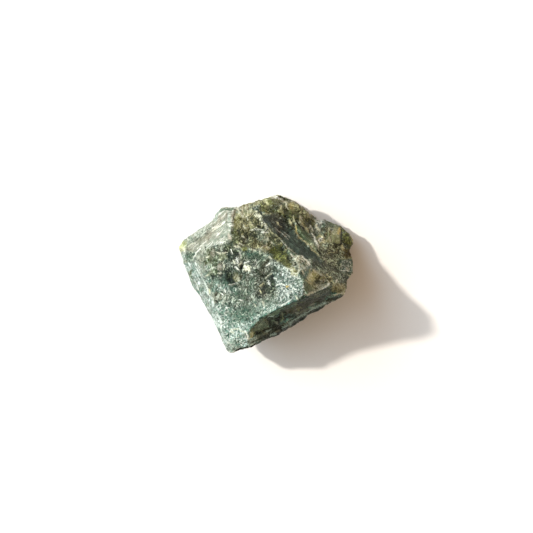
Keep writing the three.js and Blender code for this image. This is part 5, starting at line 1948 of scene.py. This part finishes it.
@dataclass
class Studio:
    """The pale floor, the light and the camera.

    Attributes:
        view_width: Width of the floor that the picture shows, in millimetres.
        view_middle: The floor point at the picture's middle, in millimetres.
        camera_height: Height of the camera over the floor, in millimetres.
        travel: Direction in which the light travels seen from above, in degrees from +X.
        rise: Height of the light above the floor, in degrees.
        spread: Apparent width of the light, in degrees: how soft the shadows are.
        strength: Strength of the main light.
        tint: Colour of the main light.
        near_sky: Light from all around on the side of the main light.
        far_sky: Light from above on the other side.
        far_wall: Light from low down on the other side.
        floor_half: Half the width of the floor, in metres.
        floor_colour: Colour of the floor.
    """

    view_width: float = 121.5
    view_middle: Point = (0.07, 1.59)
    camera_height: float = 900.0
    travel: float = -17.3
    rise: float = 37.3
    spread: float = 3.5
    strength: float = 3.3
    tint: Colour = (1.0, 0.955, 0.88)
    near_sky: Colour = (3.4, 4.25, 5.0)
    far_sky: Colour = (0.37, 0.285, 0.21)
    far_wall: Colour = (1.46, 1.12, 0.82)
    floor_half: float = 3.0
    floor_colour: Colour = (0.88, 0.85, 0.82)

    def build(self) -> None:
        """Makes the floor, the lights and the camera."""
        self.make_floor()
        self.make_light()
        self.make_sky()
        self.make_camera()
        bpy.context.scene.view_settings.view_transform = "Standard"

    def make_floor(self) -> None:
        """A wide pale sheet at the height of the resting face."""
        half = self.floor_half
        mesh = bpy.data.meshes.new("floor")
        corners = [(-half, -half, 0), (half, -half, 0), (half, half, 0), (-half, half, 0)]
        mesh.from_pydata(corners, [], [(0, 1, 2, 3)])
        floor = bpy.data.objects.new("floor", mesh)
        bpy.context.collection.objects.link(floor)
        material = bpy.data.materials.new("pale_floor")
        material.use_nodes = True
        shader = material.node_tree.nodes["Principled BSDF"]
        shader.inputs["Base Color"].default_value = (*self.floor_colour, 1.0)
        shader.inputs["Roughness"].default_value = 0.9
        shader.inputs["Specular IOR Level"].default_value = 0.1
        mesh.materials.append(material)

    def make_light(self) -> None:
        """The main light, low from the left."""
        light = bpy.data.lights.new("main_light", "SUN")
        light.energy = self.strength
        light.color = self.tint
        light.angle = math.radians(self.spread)
        lamp = bpy.data.objects.new("main_light", light)
        bpy.context.collection.objects.link(lamp)
        turn, rise = math.radians(self.travel), math.radians(self.rise)
        lamp.rotation_euler = (math.pi / 2.0 - rise, 0.0, turn - math.pi / 2.0)

    def make_sky(self) -> None:
        """Soft light from all around: strong and cool near the main light, else warm."""
        world = bpy.data.worlds.new("studio")
        bpy.context.scene.world = world
        world.use_nodes = True
        tree = NodeTree(world.node_tree)
        place = tree.add("ShaderNodeTexCoord").outputs["Generated"]
        turn = math.radians(self.travel)
        side = tree.vector("DOT_PRODUCT", place, (math.cos(turn), math.sin(turn), 0.0))
        far = tree.ramp(side, -0.95, -0.35)
        height = tree.add("ShaderNodeSeparateXYZ", Vector=place).outputs["Z"]
        low = tree.ramp(height, 0.45, 0.15)
        away = tree.blend(low, (*self.far_sky, 1.0), (*self.far_wall, 1.0))
        colour = tree.blend(far, (*self.near_sky, 1.0), away)
        tree.join(colour, world.node_tree.nodes["Background"].inputs["Color"])

    def make_camera(self) -> None:
        """The camera straight above the stone, with a long lens."""
        data = bpy.data.cameras.new("camera")
        data.lens = data.sensor_width * self.camera_height / self.view_width
        data.clip_end = 10.0
        camera = bpy.data.objects.new("camera", data)
        bpy.context.collection.objects.link(camera)
        camera.location = [value * MM for value in (*self.view_middle, self.camera_height)]
        bpy.context.scene.camera = camera


# ---- Putting it together -------------------------------------------------------------


def dress_stone(nodes: dict[str, bpy.types.Object]) -> bpy.types.Object:
    """Builds the stone's surface, gives it its material and ties it to the frame.

    Args:
        nodes: The frame's nodes by name.

    Returns:
        The finished stone.
    """
    stone = StoneSurface().build(nodes[STONE])
    stone.data.materials.append(AgateFinish().material())
    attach(stone, "root")
    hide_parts(STONE)
    return stone


def main() -> None:
    """Builds the studio and the stone, and reports each piece."""
    logging.basicConfig(level=logging.INFO, format="%(name)s: %(message)s")
    Studio().build()
    LOG.info("studio ready")
    stone = dress_stone(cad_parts)
    LOG.info("%s has %d triangles", stone.name, len(stone.data.polygons))


if __name__ == "__main__":
    main()
